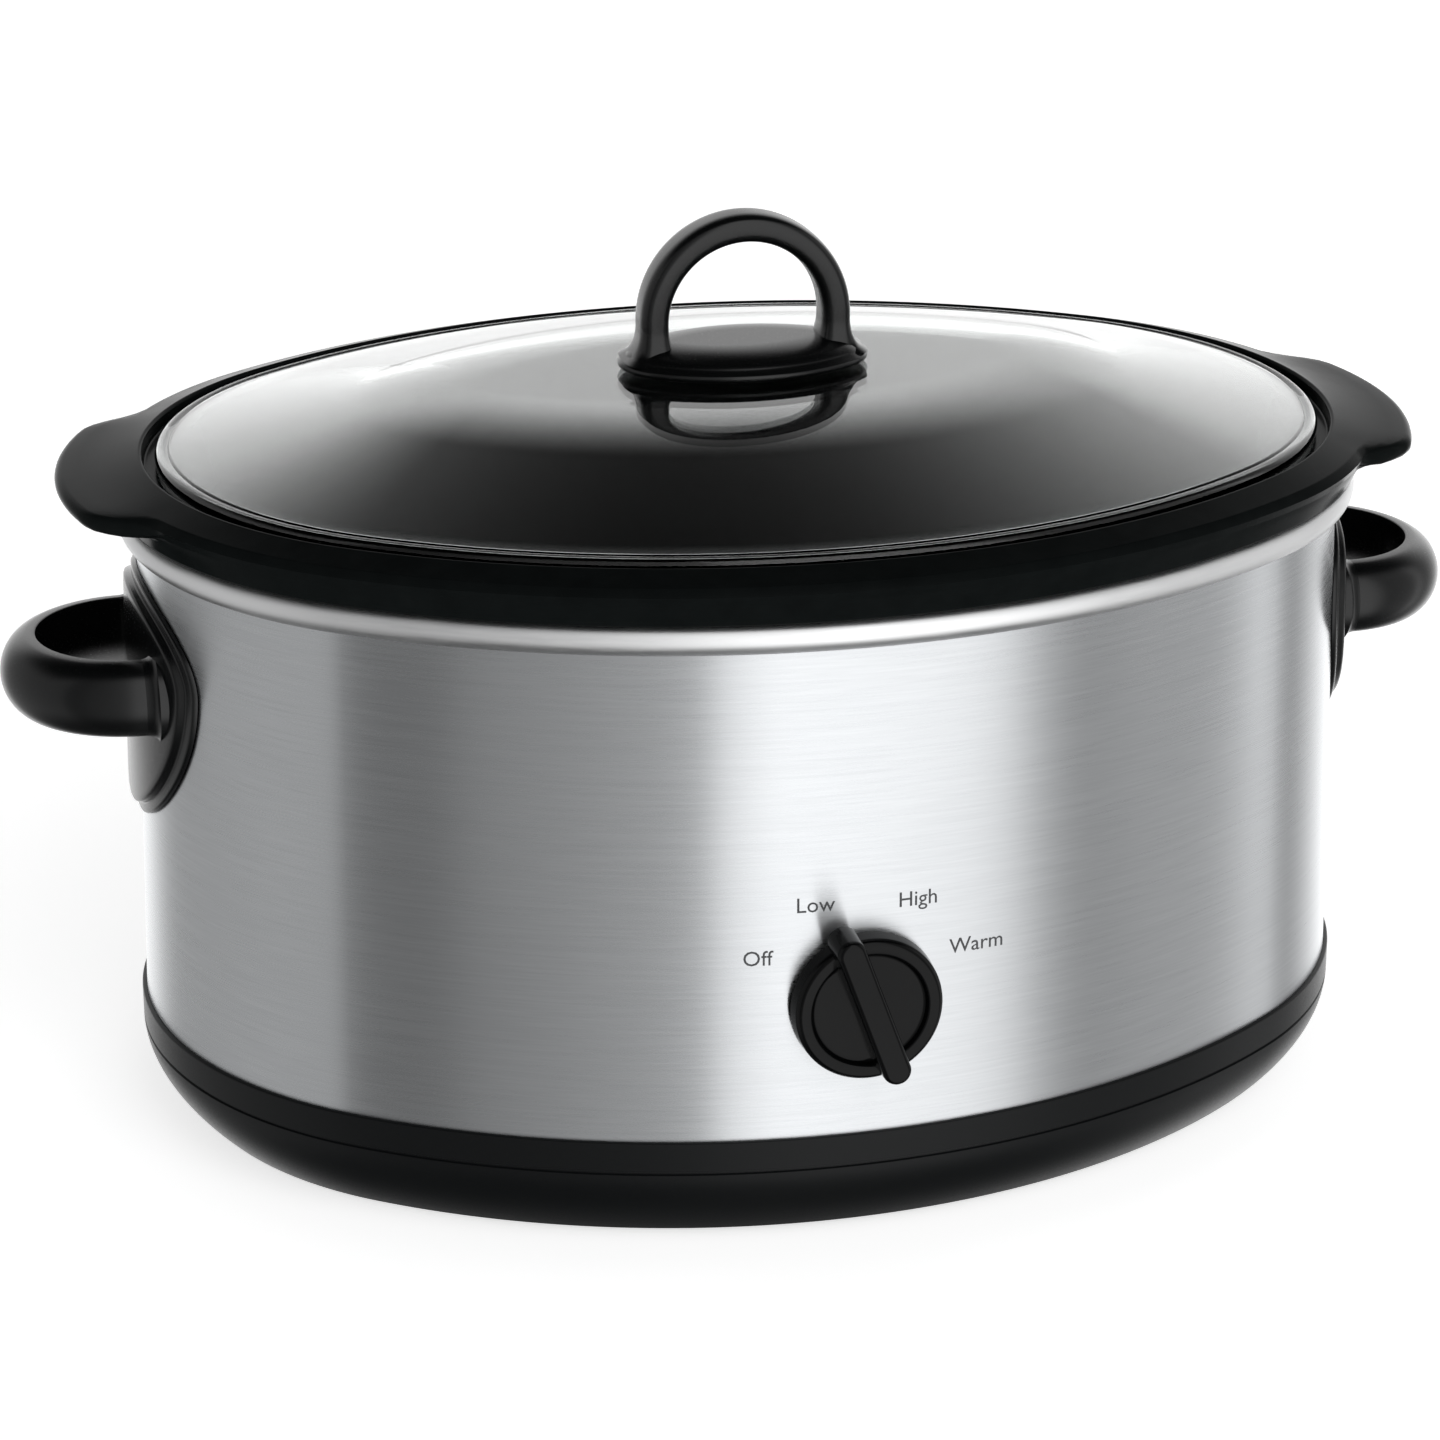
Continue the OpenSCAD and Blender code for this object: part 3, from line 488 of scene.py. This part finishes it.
# ---- Steel wrap ----
# A sheet of brushed stainless steel rolled into an oval that widens a little towards its foot.
# It drops into the base's lip and is held down by the liner's bead; holes take the fittings.
wrap_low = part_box("outer_wrap")[0].z * 1000
wrap_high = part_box("outer_wrap")[1].z * 1000
sheet = 0.6
levels = [wrap_low, base_top, 42, 52, 62, 70, 79, 94, 110, 126, 133, 140, 154, wrap_high]
outline = ([(wrap_offset(z), z) for z in levels]
           + [(wrap_offset(z) - sheet, z) for z in reversed(levels)])
wrap = piece_of("steel_wrap", swept(plan, outline, loop=True))
control_z = base_top + 37.4
front_y = body_d / 2 + wrap_offset(control_z)
gland_z = base_top + 17
grip_z = base_top + 100
screw_y = 30.5
shaft_hole_r, gland_hole_r, screw_hole_r = 4.7, 6.2, 2.3
holes = [rod(shaft_hole_r, (0, -front_y - 8, control_z), (0, -front_y + 8, control_z)),
         rod(gland_hole_r, (0, front_y - 10, gland_z), (0, front_y + 10, gland_z))]
holes += [rod(screw_hole_r, (side * 150, y, grip_z), (side * 185, y, grip_z))
          for side in (-1, 1) for y in (-screw_y, screw_y)]
cut_out(wrap, piece_of("hole_cutter", *holes))

# Brushed stainless steel: level hairlines under half a millimetre apart draw every reflection
# out into upright bands. The hairlines are drawn about twice as coarse as real ones, to show.
brushed, tree, surface = new_finish("brushed_stainless_steel", Metallic=1.0, Anisotropic=0.94)
surface.inputs["Anisotropic Rotation"].default_value = 0.25
where = add_node(tree, "ShaderNodeTexCoord").outputs["Object"]
hair_pitch = 0.8
hairs = add_node(tree, "ShaderNodeMapping", {"Vector": where, "Scale": (0.03, 0.03, 1)})
hairline = add_node(tree, "ShaderNodeTexNoise", {"Vector": hairs.outputs[0], "Scale": 1000 / hair_pitch,
                                                 "Detail": 3.0, "Roughness": 0.7})
drift = add_node(tree, "ShaderNodeTexNoise", {"Vector": where, "Scale": 9.0, "Detail": 2.0})
tone = add_node(tree, "ShaderNodeMix", {"Factor": hairline.outputs[0]}, data_type="RGBA")
tone.inputs[6].default_value = linear("#b4b6b8")
tone.inputs[7].default_value = linear("#d2d4d6")
gloss = add_node(tree, "ShaderNodeMath", {0: hairline.outputs[0], 1: drift.outputs[0]})
gloss_range = add_node(tree, "ShaderNodeMapRange", {"Value": gloss.outputs[0], "From Min": 0.6,
                                                    "From Max": 1.4, "To Min": 0.24, "To Max": 0.32})
scratch = add_node(tree, "ShaderNodeBump", {"Height": hairline.outputs[0], "Strength": 0.35,
                                            "Distance": 0.00002})
tree.links.new(tone.outputs[2], surface.inputs["Base Color"])
tree.links.new(gloss_range.outputs[0], surface.inputs["Roughness"])
tree.links.new(scratch.outputs[0], surface.inputs["Normal"])
fit(wrap, "housing", brushed, "brushed_steel", "outer_wrap")

# ---- Setting words ----
# The four settings are pad-printed in dark grey ink round the knob, each a thin flat layer of
# ink that follows the steel.
letter_height = 4.1
capital_share = 0.7
font_size = letter_height / capital_share
ink_thickness = 0.05
ink_gap = 0.01
settings = {"Off": (-27.9, 84.2), "Low": (-12.9, 98.2), "High": (14.6, 97.3), "Warm": (31.1, 82.4)}
side_c = body_w - body_d
side_r = body_w - body_d / 2


def front_depth(x, z, proud):
    """How far forward a point on the front of the wrap lies, in mm."""
    return math.sqrt((side_r + wrap_offset(z) + proud) ** 2 - x * x) - side_c


word_work = bmesh.new()
for word, (word_x, word_z) in settings.items():
    letters = bpy.data.curves.new(word, "FONT")
    letters.body = word
    letters.size = font_size
    letters.align_x = "CENTER"
    letters.extrude = ink_thickness / 2
    letters.resolution_u = 3
    writing = placed(word, letters)
    mesh = plain_mesh(writing)
    bpy.data.objects.remove(writing)
    for vertex in mesh.vertices:
        x = word_x + vertex.co.x
        z = word_z - letter_height / 2 + vertex.co.y
        y = -front_depth(x, z, ink_thickness / 2 + vertex.co.z + ink_gap)
        vertex.co = Vector((x, y, z)) * 0.001
    word_work.from_mesh(mesh)
bmesh.ops.remove_doubles(word_work, verts=word_work.verts, dist=1e-7)
bmesh.ops.recalc_face_normals(word_work, faces=word_work.faces)
word_mesh = bpy.data.meshes.new("setting_words")
word_work.to_mesh(word_mesh)
word_work.free()
words = placed("setting_words", word_mesh)
# Pad-printing ink: dark grey, even and just short of matt.
ink = grained("pad_printing_ink", "#3a3b3d", "#444547", 0.5, 0.4, 0.004)
word_mesh.materials.append(ink)
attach(words, "housing")

# ---- Side handles ----
# Each handle is one phenolic moulding: a shield that lies on the steel, with a raised field, and
# a D-shaped loop with a thin web across it. Two screws from inside the wrap hold it.
end_c = 0.75 * side_c
end_r = body_w / 2 - end_c
grip_x = body_w / 2 + 3.4
grip_hole = 25.5
loop_mid = 30.5
shield_z = grip_z + 4
shield_up, shield_down, shield_half = 22.5, 46, 45


def shield_ring(inset, thickness, share=1.0, steps=120):
    """A ring of the egg-shaped shield, laid on the end of the wrap at a thickness."""
    turns = np.radians(np.linspace(0, 360, steps, endpoint=False))
    rise = np.sin(turns)
    tall = np.where(rise > 0, shield_up - inset, shield_down - inset)
    wide = (shield_half - inset) * np.where(rise > 0, 1, 1 - 0.14 * rise ** 2)
    y = share * wide * np.cos(turns)
    z = shield_z + share * tall * rise
    x = end_c + np.sqrt((end_r + wrap_offset(z) + thickness) ** 2 - y * y)
    return np.stack([x, y, z], 1)


def loop_section():
    """The loop's section as distance from its axis and height: flat inside, full and round outside."""
    return np.array([(grip_hole, z) for z in (-9.2, -5, 0, 5, 9.5)]
                    + [(grip_hole + 0.15, 9.85), (grip_hole + 0.5, 10)]
                    + arc(grip_hole + 1, -0.7, 9, 10.7, 80, -58, 22)
                    + [(grip_hole + 4, -9.9), (grip_hole + 1, -9.9), (grip_hole + 0.4, -9.7)])


def handle_shells(side):
    """The shield, the loop and its web, for the side at +X or at -X."""
    skins = [shell([shield_ring(0, 0.1, 0.05), shield_ring(0, 0.1, 0.6)]
                   + [shield_ring(inset, thickness) for inset, thickness in
                      ((0.2, 0.1), (0, 0.3), (0, 1.0), (0.2, 1.4), (0.6, 1.6), (2.6, 1.6), (2.95, 1.68),
                       (3.2, 2.0), (3.35, 3.0), (3.6, 3.5), (4.1, 3.7), (5.5, 3.75))]
                   + [shield_ring(0, 3.8, share) for share in (0.75, 0.5, 0.25, 0.05)])]
    section = loop_section()
    shield_x = end_c + math.sqrt((end_r + wrap_offset(grip_z) + 3.7) ** 2 - loop_mid ** 2)
    fillet = 3.6
    legs = [shield_x - 6] + list(shield_x - 0.4 + fillet * np.linspace(0, 1, 8) ** 1.4)
    rings = []
    for leg_side, leg_xs in ((-1, legs), (0, None), (1, reversed(legs))):
        if leg_side == 0:
            for turn in np.radians(np.linspace(-90, 90, 49)):
                rings.append(np.stack([grip_x + section[:, 0] * math.cos(turn),
                                       section[:, 0] * math.sin(turn), grip_z + section[:, 1]], 1))
            continue
        for x in leg_xs:
            near = min(1, max(0, 1 - (x - shield_x) / fillet))
            swell = 2.4 * (1 - math.sqrt(1 - near * near)) if x > shield_x - 3 else 2.4
            reach = loop_mid + (section[:, 0] - loop_mid) * (1 + swell / 5)
            height = section[:, 1] * (1 + swell / 12)
            rings.append(np.stack([np.full(len(section), min(x, grip_x - 0.02)),
                                   leg_side * reach, grip_z + height], 1))
    skins.append(shell(rings))
    web_r = grip_hole + 0.8
    edge = np.array([(shield_x - 6, -web_r)] + arc(grip_x, 0, web_r, web_r, -90, 90, 40)
                    + [(shield_x - 6, web_r)])
    skins.append(shell([np.column_stack([edge, np.full(len(edge), z)])
                        for z in (grip_z - 1, grip_z + 1.5)]))
    return [(points * np.array([side, 1, 1]), faces) for points, faces in skins]


# Phenolic moulding: satin black that shows soft, broad highlights on its rounded faces.
phenolic = grained("phenolic_moulding", "#060707", "#0d0e0f", 0.24, 0.45, 0.005, 0.04,
                   **{"Specular IOR Level": 0.35})
for side, name in ((1, "right"), (-1, "left")):
    handle = piece_of(name + "_grip", *handle_shells(side), sharp=42)
    fit(handle, "housing", phenolic, "black_phenolic", name + "_handle")
    dress(zinc_plate, name + "_handle_screws")

# ---- Rotary switch ----
# A four-way rotary switch hangs behind the wrap on its bush and nut. A brass shaft turns its
# rotor against a steel detent leaf, and spade connectors push on its tabs.
# Glass-filled resin: grey-brown, dry and slightly fibrous.
resin = grained("glass_filled_resin", "#37342f", "#4a463f", 0.6, 0.7, 0.02)
# Brass: warm yellow metal, dulled in handling.
brass = grained("turned_brass", "#b08d4c", "#c9a765", 0.34, 0.8, 0.005, Metallic=1.0)
dress(resin, "switch_housing", "switch_cover")
dress(brass, "switch_shaft", "switch_terminals")
dress(zinc_plate, "detent_leaf", "knob_clip")
fit(tidied("switch_nut", "bush_nut", 0.2), "housing", zinc_plate, "zinc_steel", "switch_nut")

# ---- Control knob ----
# A polished black knob is pushed over the shaft's flat: a low skirt with a bevelled rim, a shallow
# dish, and a tall grip bar whose rounded end reaches past the skirt as the pointer.
knob_gap = 1.2
knob_r = 20
skirt = knob_gap + 6
bar_top = skirt + 7.8
bar_w = 8
tip = knob_r + 4.5
low_angle = 20


def circle_ring(radius, z, sides=128):
    """A level ring of points round the knob's axis."""
    turns = np.linspace(0, 2 * math.pi, sides, endpoint=False)
    return np.stack([radius * np.cos(turns), radius * np.sin(turns), np.full(sides, z)], 1)


def bar_ring(inset, z, sides=32):
    """A long rounded outline, with its pointer end at +Y."""
    half = bar_w / 2 - inset
    top = arc(0, tip - bar_w / 2, half, half, 0, 180, sides)
    low = arc(0, -knob_r + bar_w / 2 + 0.5, half, half, 180, 360, sides)
    return np.array([(x, y, z) for x, y in top + low])


skirt_outline = [(0.5, knob_gap + 3), (knob_r - 1.8, knob_gap + 3), (knob_r - 1.8, knob_gap + 0.1),
                 (knob_r - 1.7, knob_gap), (knob_r - 0.1, knob_gap), (knob_r, knob_gap + 0.15),
                 (knob_r - 0.3, skirt - 1.9), (knob_r - 0.4, skirt - 1.5), (knob_r - 0.75, skirt - 0.85),
                 (knob_r - 1.3, skirt - 0.3), (knob_r - 1.9, skirt - 0.15), (knob_r - 3.9, skirt - 0.35),
                 (knob_r - 4.3, skirt - 0.5), (knob_r - 4.6, skirt - 0.8), (knob_r - 4.9, skirt - 1.7),
                 (knob_r - 5.3, skirt - 1.95), (knob_r - 6, skirt - 2), (6, skirt - 1.7), (0.5, skirt - 1.6)]
bar_rows = [(0, skirt - 3), (0, skirt - 0.5), (0.15, bar_top - 2), (0.25, bar_top - 1.2),
            (0.5, bar_top - 0.6), (0.9, bar_top - 0.2), (1.5, bar_top)]
shaft_socket = rod(5.2, (0, 0, 3.6), (0, 0, 5.2))
on_front = (Matrix.Translation((0, -front_y * 0.001, control_z * 0.001))
            @ Matrix.Rotation(math.pi / 2, 4, "X") @ Matrix.Rotation(math.radians(low_angle), 4, "Z"))
knob = piece_of("knob", shell([circle_ring(radius, z) for radius, z in skirt_outline]),
                shell([bar_ring(inset, z) for inset, z in bar_rows]), shaft_socket, place=on_front)

# Polished moulding: an even, very smooth black that gives back only a little of the light.
gloss_moulding = grained("polished_moulding", "#050506", "#0a0b0b", 0.09, 2.5, 0.002, 0.02,
                         **{"Specular IOR Level": 0.12})
fit(knob, "knob", gloss_moulding, "gloss_black", "control_knob")

# ---- Cord gland ----
# A black grommet moulded in two steps lines the cord's way out at the back, and a nut inside
# the wrap locks it.
fit(tidied("cord_gland", "gland", 0.3), "housing", phenolic, "black_phenolic", "cord_gland")

# ---- Stoneware insert ----
# The cooking pot is cast stoneware under a thick black glaze. Its collar rests on the steel bead,
# its rim steps down to a seat for the glass, and two broad lugs run out of the rim at the ends.
pot_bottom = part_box("stoneware_insert")[0].z * 1000
pot_top = rim_z + 11.3
ridge_z = pot_top + 2.4
ridge_o = -1.9
seat_z = pot_top - 1.6
collar = 8.4
pot_wall = 6.5
pot_floor = pot_bottom + 8
lug_centre = math.radians(-5)
lug_tip = 107
lug_proud = 12.6
lug_tip_c = body_w / 2 + collar + lug_proud - lug_tip - end_c
lug_spread, lug_ease = math.radians(29.5), math.radians(12)

# How far the lugs stand out of the collar at each station, with a slow curve into the rim
facing = np.arctan2(plan[:, 4], np.abs(plan[:, 3])) * np.sign(plan[:, 3])
turned = np.abs(facing - lug_centre)
reach = lug_tip_c * np.cos(turned) + np.sqrt(lug_tip ** 2 - (lug_tip_c * np.sin(turned)) ** 2)
fade = np.clip((lug_spread - turned) / lug_ease, 0, 1)
lug = (reach - end_r - collar) * fade ** 2 * (3 - 2 * fade)
share = np.clip(lug / 5, 0, 1)
share = share ** 2 * (3 - 2 * share)

# Each row holds the collar's plain offset and height, then the lug's own
edge = 2.5
lug_rows = [(6.2, -7.2, 0, 6.3, -7.1), (6.6, -6.2, 0, 6.8, -6.3), (6.85, -5.6, 0, 7.8, -5.95),
            (7.05, -5.0, 0.25, 8.4, -5.9), (7.25, -4.5, 0.6, 7.6, -5.85)]
lug_rows += [(7.3 + i * 0.13, -4.3 + i * 0.26, 1, o, z) for i, (o, z) in
             enumerate(arc(collar - edge, -3.4, edge, edge, -90, 84, 9))]
lug_rows += [(collar - 1.5, -0.03, 0.6, 7.0, -0.5), (collar - 2.2, 0.12, 0.2, 6.2, -0.1)]
bend_z = pot_bottom + corner
bend_o = pot_offset(bend_z) - corner
in_r = corner - 2
in_bend_z = pot_floor + in_r
in_bend_o = pot_offset(in_bend_z) - pot_wall - in_r
throat_z = seat_z - 12
rings = [oval_ring(plan, o, z) for o, z in
         [(bend_o - 5, pot_bottom)] + arc(bend_o, bend_z, corner, corner, -90, 0, 12)
         + [(-9.6, pot_under - 0.4), (-9.2, pot_under), (bead_proud - 0.9, pot_under),
            (bead_proud - 0.25, pot_under + 0.15), (bead_proud, pot_under + 0.8)]]
for plain_o, plain_z, along, lug_o, lug_z in lug_rows:
    offset = plain_o * (1 - share) + (lug_o + lug * along) * share
    rings.append(oval_ring(plan, offset, pot_top + plain_z * (1 - share) + lug_z * share))
rings += [oval_ring(plan, o, z) for o, z in
          [(1.5, pot_top + 1.45)] + arc(ridge_o + 0.2, ridge_z - 0.9, 0.9, 0.9, 70, 180, 7)
          + [(ridge_o - 0.75, seat_z + 0.9), (ridge_o - 1.0, seat_z + 0.25), (ridge_o - 1.6, seat_z),
             (-12.2, seat_z), (-13.0, seat_z - 0.2), (-13.5, seat_z - 0.8), (-13.8, seat_z - 2)]
          + [(pot_offset(throat_z) - pot_wall, throat_z)]
          + arc(in_bend_o, in_bend_z, in_r, in_r, 0, -90, 12) + [(in_bend_o - 5, pot_floor)]]
pot = piece_of("stoneware_pot", shell(rings), sharp=60)

# Black glaze fired on stoneware: a smooth, deep black coat with a slow orange-peel ripple and a
# soft, low shine.
glaze = grained("black_glazed_stoneware", "#0c0e0e", "#151818", 0.18, 9.0, 0.05, 0.03,
                **{"Specular IOR Level": 0.012})
fit(pot, "insert", glaze, "black_glaze", "stoneware_insert")

# ---- Glass lid ----
# A pressed dome of toughened soda-lime glass. Its edge is a rounded solid bead that sits in the
# pot's seat, and one hole in the middle takes the handle's screw.
glass_o = ridge_o - 6.4
glass_seat = seat_z + 0.3
bead = 2.3
thickness = 4
lid_hole_r = 3.2
bead_mid = glass_seat + bead
dome_run = end_r + glass_o - 12
dome_top = glass_seat + 20
rise = dome_top - bead_mid - thickness / 2
crown_r = 150
crown_o = glass_o - dome_run
# A rounded crown round the handle, then a straight flank down to the bead
lean = math.atan2(dome_run, crown_r - rise) - math.acos(crown_r / math.hypot(dome_run, crown_r - rise))


def dome_rows(radius, stop):
    """Offsets and heights from the crown's edge out to near the bead."""
    crown = arc(crown_o, dome_top - crown_r, radius, radius, 90, 90 - math.degrees(lean), 16)
    start_o, start_z = crown[-1]
    flank = [(o, start_z - (o - start_o) * math.tan(lean))
             for o in np.linspace(start_o, crown_o + stop, 12)[1:]]
    return crown + flank


def hole_ring(z):
    """The edge of the hole in the middle, with one point for each station of the oval."""
    turns = np.arctan2(plan[:, 4], plan[:, 3])
    return np.stack([lid_hole_r * np.cos(turns), lid_hole_r * np.sin(turns), np.full(len(turns), z)], 1)


rows = (dome_rows(crown_r - thickness, dome_run - 3.4) + arc(glass_o, bead_mid, bead, bead, -128, 128, 20)
        + dome_rows(crown_r, dome_run - 2.0)[::-1])
rings = [hole_ring(dome_top - thickness)] + [oval_ring(plan, o, z) for o, z in rows] + [hole_ring(dome_top)]
lid = piece_of("glass_dome", shell(rings, loop=True), sharp=50)

# Toughened glass: colourless and fully clear, with a clean polished surface.
glass, tree, surface = new_finish("toughened_glass", IOR=1.52, **{"Specular IOR Level": 0.8})
surface.inputs["Transmission Weight"].default_value = 1.0
where = add_node(tree, "ShaderNodeTexCoord").outputs["Object"]
ripple = add_node(tree, "ShaderNodeTexNoise", {"Vector": where, "Scale": 28.0, "Detail": 1.0})
clear = add_node(tree, "ShaderNodeMapRange", {"Value": ripple.outputs[0], "To Min": 0.0, "To Max": 0.012})
wave = add_node(tree, "ShaderNodeBump", {"Height": ripple.outputs[0], "Strength": 0.1, "Distance": 0.0001})
surface.inputs["Base Color"].default_value = linear("#f6f9f8")
tree.links.new(clear.outputs[0], surface.inputs["Roughness"])
tree.links.new(wave.outputs[0], surface.inputs["Normal"])
fit(lid, "lid", glass, "clear_glass", "glass_lid")

# ---- Lid handle ----
# An arched grip on a thin-edged oval foot, moulded in one piece of phenolic. A screw from under
# the glass draws it down on a soft gasket, with a steel washer below.
foot_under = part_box("lid_handle")[0].z * 1000
foot_top = foot_under + 7
arch_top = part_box("lid_handle")[1].z * 1000
arch_r = 29.6
arch_t = 8
arch_d = 13
arch_z = arch_top - arch_r
arch_mid = arch_r - arch_t / 2
foot_plan = oval_plan(70, 46, 24, 24)
foot_rows = ([(-15, foot_under), (-1.6, foot_under)] + arc(-1.2, foot_under + 1.4, 1.2, 1.2, -75, 50, 8)
             + arc(-15, foot_under + 2.5, 13.4, 4.5, 8, 90, 12))


def arch_section(grow, sides=44):
    """A softened, flat-sided section: its half-thickness, then its half-depth."""
    turns = np.linspace(0, 2 * math.pi, sides, endpoint=False)
    squareness = 3.4
    soft = 2 / squareness
    across = (arch_t / 2 + grow) * np.sign(np.cos(turns)) * np.abs(np.cos(turns)) ** soft
    deep = (arch_d / 2 + grow) * np.sign(np.sin(turns)) * np.abs(np.sin(turns)) ** soft
    return across, deep


flare_top = foot_top + 4.5
flare = 8.2
flare_swell = 4.6
rings = []
for z in np.linspace(foot_under + 2.8, arch_z - 0.5, 16):
    near = min(1, max(0, (flare_top - z) / flare))
    across, deep = arch_section(flare_swell * (1 - math.sqrt(1 - near * near)))
    rings.append(np.stack([-arch_mid + across, deep, np.full(len(deep), z)], 1))
legs = list(rings)
across, deep = arch_section(0)
for turn in np.radians(np.linspace(180, 0, 65)):
    rings.append(np.stack([(arch_mid - across) * math.cos(turn), deep,
                           arch_z + (arch_mid - across) * math.sin(turn)], 1))
rings += [ring * np.array([-1, 1, 1]) for ring in reversed(legs)]
grip = piece_of("lid_grip", swept(foot_plan, foot_rows), shell(rings), sharp=45)
fit(grip, "lid", phenolic, "black_phenolic", "lid_handle")
# Silicone rubber: dark grey, soft-looking and matt.
silicone = grained("silicone_rubber", "#2a2b2b", "#353636", 0.65, 0.8, 0.01)
fit(tidied("lid_gasket", "grip_gasket", 0.15), "lid", silicone, "silicone", "lid_gasket")
fit(tidied("lid_washer", "grip_washer", 0.15), "lid", zinc_plate, "zinc_steel", "lid_washer")
fit(tidied("lid_screw", "grip_screw", 0.2), "lid", zinc_plate, "zinc_steel", "lid_screw")

# ---- Floor and light ----
# A seamless white sheet under the cooker and broad soft light all round. It is brightest behind
# and to the front right, dim to the front left and overhead, and its patches end fairly sharply.
floor_r, floor_sides = 9, 96
paper_glow = 0.68
turns = np.linspace(0, 2 * math.pi, floor_sides, endpoint=False)
floor_mesh = bpy.data.meshes.new("floor")
floor_mesh.from_pydata([(floor_r * math.cos(t), floor_r * math.sin(t), 0) for t in turns], [],
                       [tuple(range(floor_sides))])
floor = placed("floor", floor_mesh)
floor.visible_glossy = False
paper, tree, surface = new_finish("white_paper", Roughness=0.9)
surface.inputs["Base Color"].default_value = linear("#f4f4f4")
surface.inputs["Emission Color"].default_value = linear("#ffffff")
surface.inputs["Emission Strength"].default_value = paper_glow
floor_mesh.materials.append(paper)

# Brightness by bearing, in degrees to the right of the front
brightest = 4.0
front_rise = 0.75
overhead_from, overhead_to, overhead_share = 0.36, 0.74, 0.01
bands = [(-180, 1.9), (-162, 1.7), (-148, 0.9), (-140, 0.62), (-90, 0.74), (-68, 0.74),
         (-64, 0.30), (-50, 0.34), (-44, 0.48), (-30, 0.60), (-16, 0.76), (-9, 0.95),
         (-6, 1.8), (2, 2.4), (20, 2.3), (32, 2.15), (39, 1.85), (44, 1.1), (51, 0.58),
         (64, 0.72), (80, 0.72), (86, 1.0), (90, 1.9), (95, 0.95), (104, 0.50), (112, 0.8),
         (120, 1.2), (138, 2.2), (150, 2.1), (158, 1.6), (168, 1.4), (180, 1.9)]
world = bpy.data.worlds.new("studio")
scene.world = world
world.use_nodes = True
tree = world.node_tree
tree.nodes.clear()
sky = add_node(tree, "ShaderNodeTexCoord").outputs["Generated"]
ray = add_node(tree, "ShaderNodeSeparateXYZ", {0: sky})
forward = add_node(tree, "ShaderNodeMath", {0: ray.outputs[1], 1: -1.0}, operation="MULTIPLY")
bearing = add_node(tree, "ShaderNodeMath", {0: ray.outputs[0], 1: forward.outputs[0]}, operation="ARCTAN2")
share_round = add_node(tree, "ShaderNodeMapRange", {"Value": bearing.outputs[0], "From Min": -math.pi,
                                                    "From Max": math.pi})
banded = add_node(tree, "ShaderNodeValToRGB", {0: share_round.outputs[0]})
for place, (degrees, level) in enumerate(bands):
    stops = banded.color_ramp.elements
    ends = {0: stops[0], len(bands) - 1: stops[-1]}
    stop = ends.get(place) or stops.new(degrees / 360 + 0.5)
    stop.color = (level / brightest,) * 3 + (1,)
# Brightness by height: full round the horizon, dark overhead and dim below. The front light
# stands taller than the back one, so forward rays are counted as lower than they are.
eased = add_node(tree, "ShaderNodeMath", {0: forward.outputs[0], 1: 0.0}, operation="MAXIMUM")
stand = add_node(tree, "ShaderNodeMath", {0: eased.outputs[0], 1: -front_rise, 2: ray.outputs[2]},
                 operation="MULTIPLY_ADD")
above = add_node(tree, "ShaderNodeMapRange",
                 {"Value": stand.outputs[0], "From Min": overhead_from, "From Max": overhead_to,
                  "To Min": brightest, "To Max": overhead_share * brightest},
                 interpolation_type="SMOOTHSTEP")
below = add_node(tree, "ShaderNodeMapRange", {"Value": ray.outputs[2], "From Min": -0.9, "From Max": -0.5,
                                              "To Min": 0.1}, interpolation_type="SMOOTHSTEP")
height = add_node(tree, "ShaderNodeMath", {0: above.outputs[0], 1: below.outputs[0]}, operation="MULTIPLY")
light = add_node(tree, "ShaderNodeMath", {0: banded.outputs[0], 1: height.outputs[0]}, operation="MULTIPLY")
seen = add_node(tree, "ShaderNodeLightPath").outputs["Is Camera Ray"]
strength = add_node(tree, "ShaderNodeMix", {"Factor": seen, 2: light.outputs[0], 3: 1.0})
background = add_node(tree, "ShaderNodeBackground", {"Strength": strength.outputs[0]})
add_node(tree, "ShaderNodeOutputWorld", {0: background.outputs[0]})
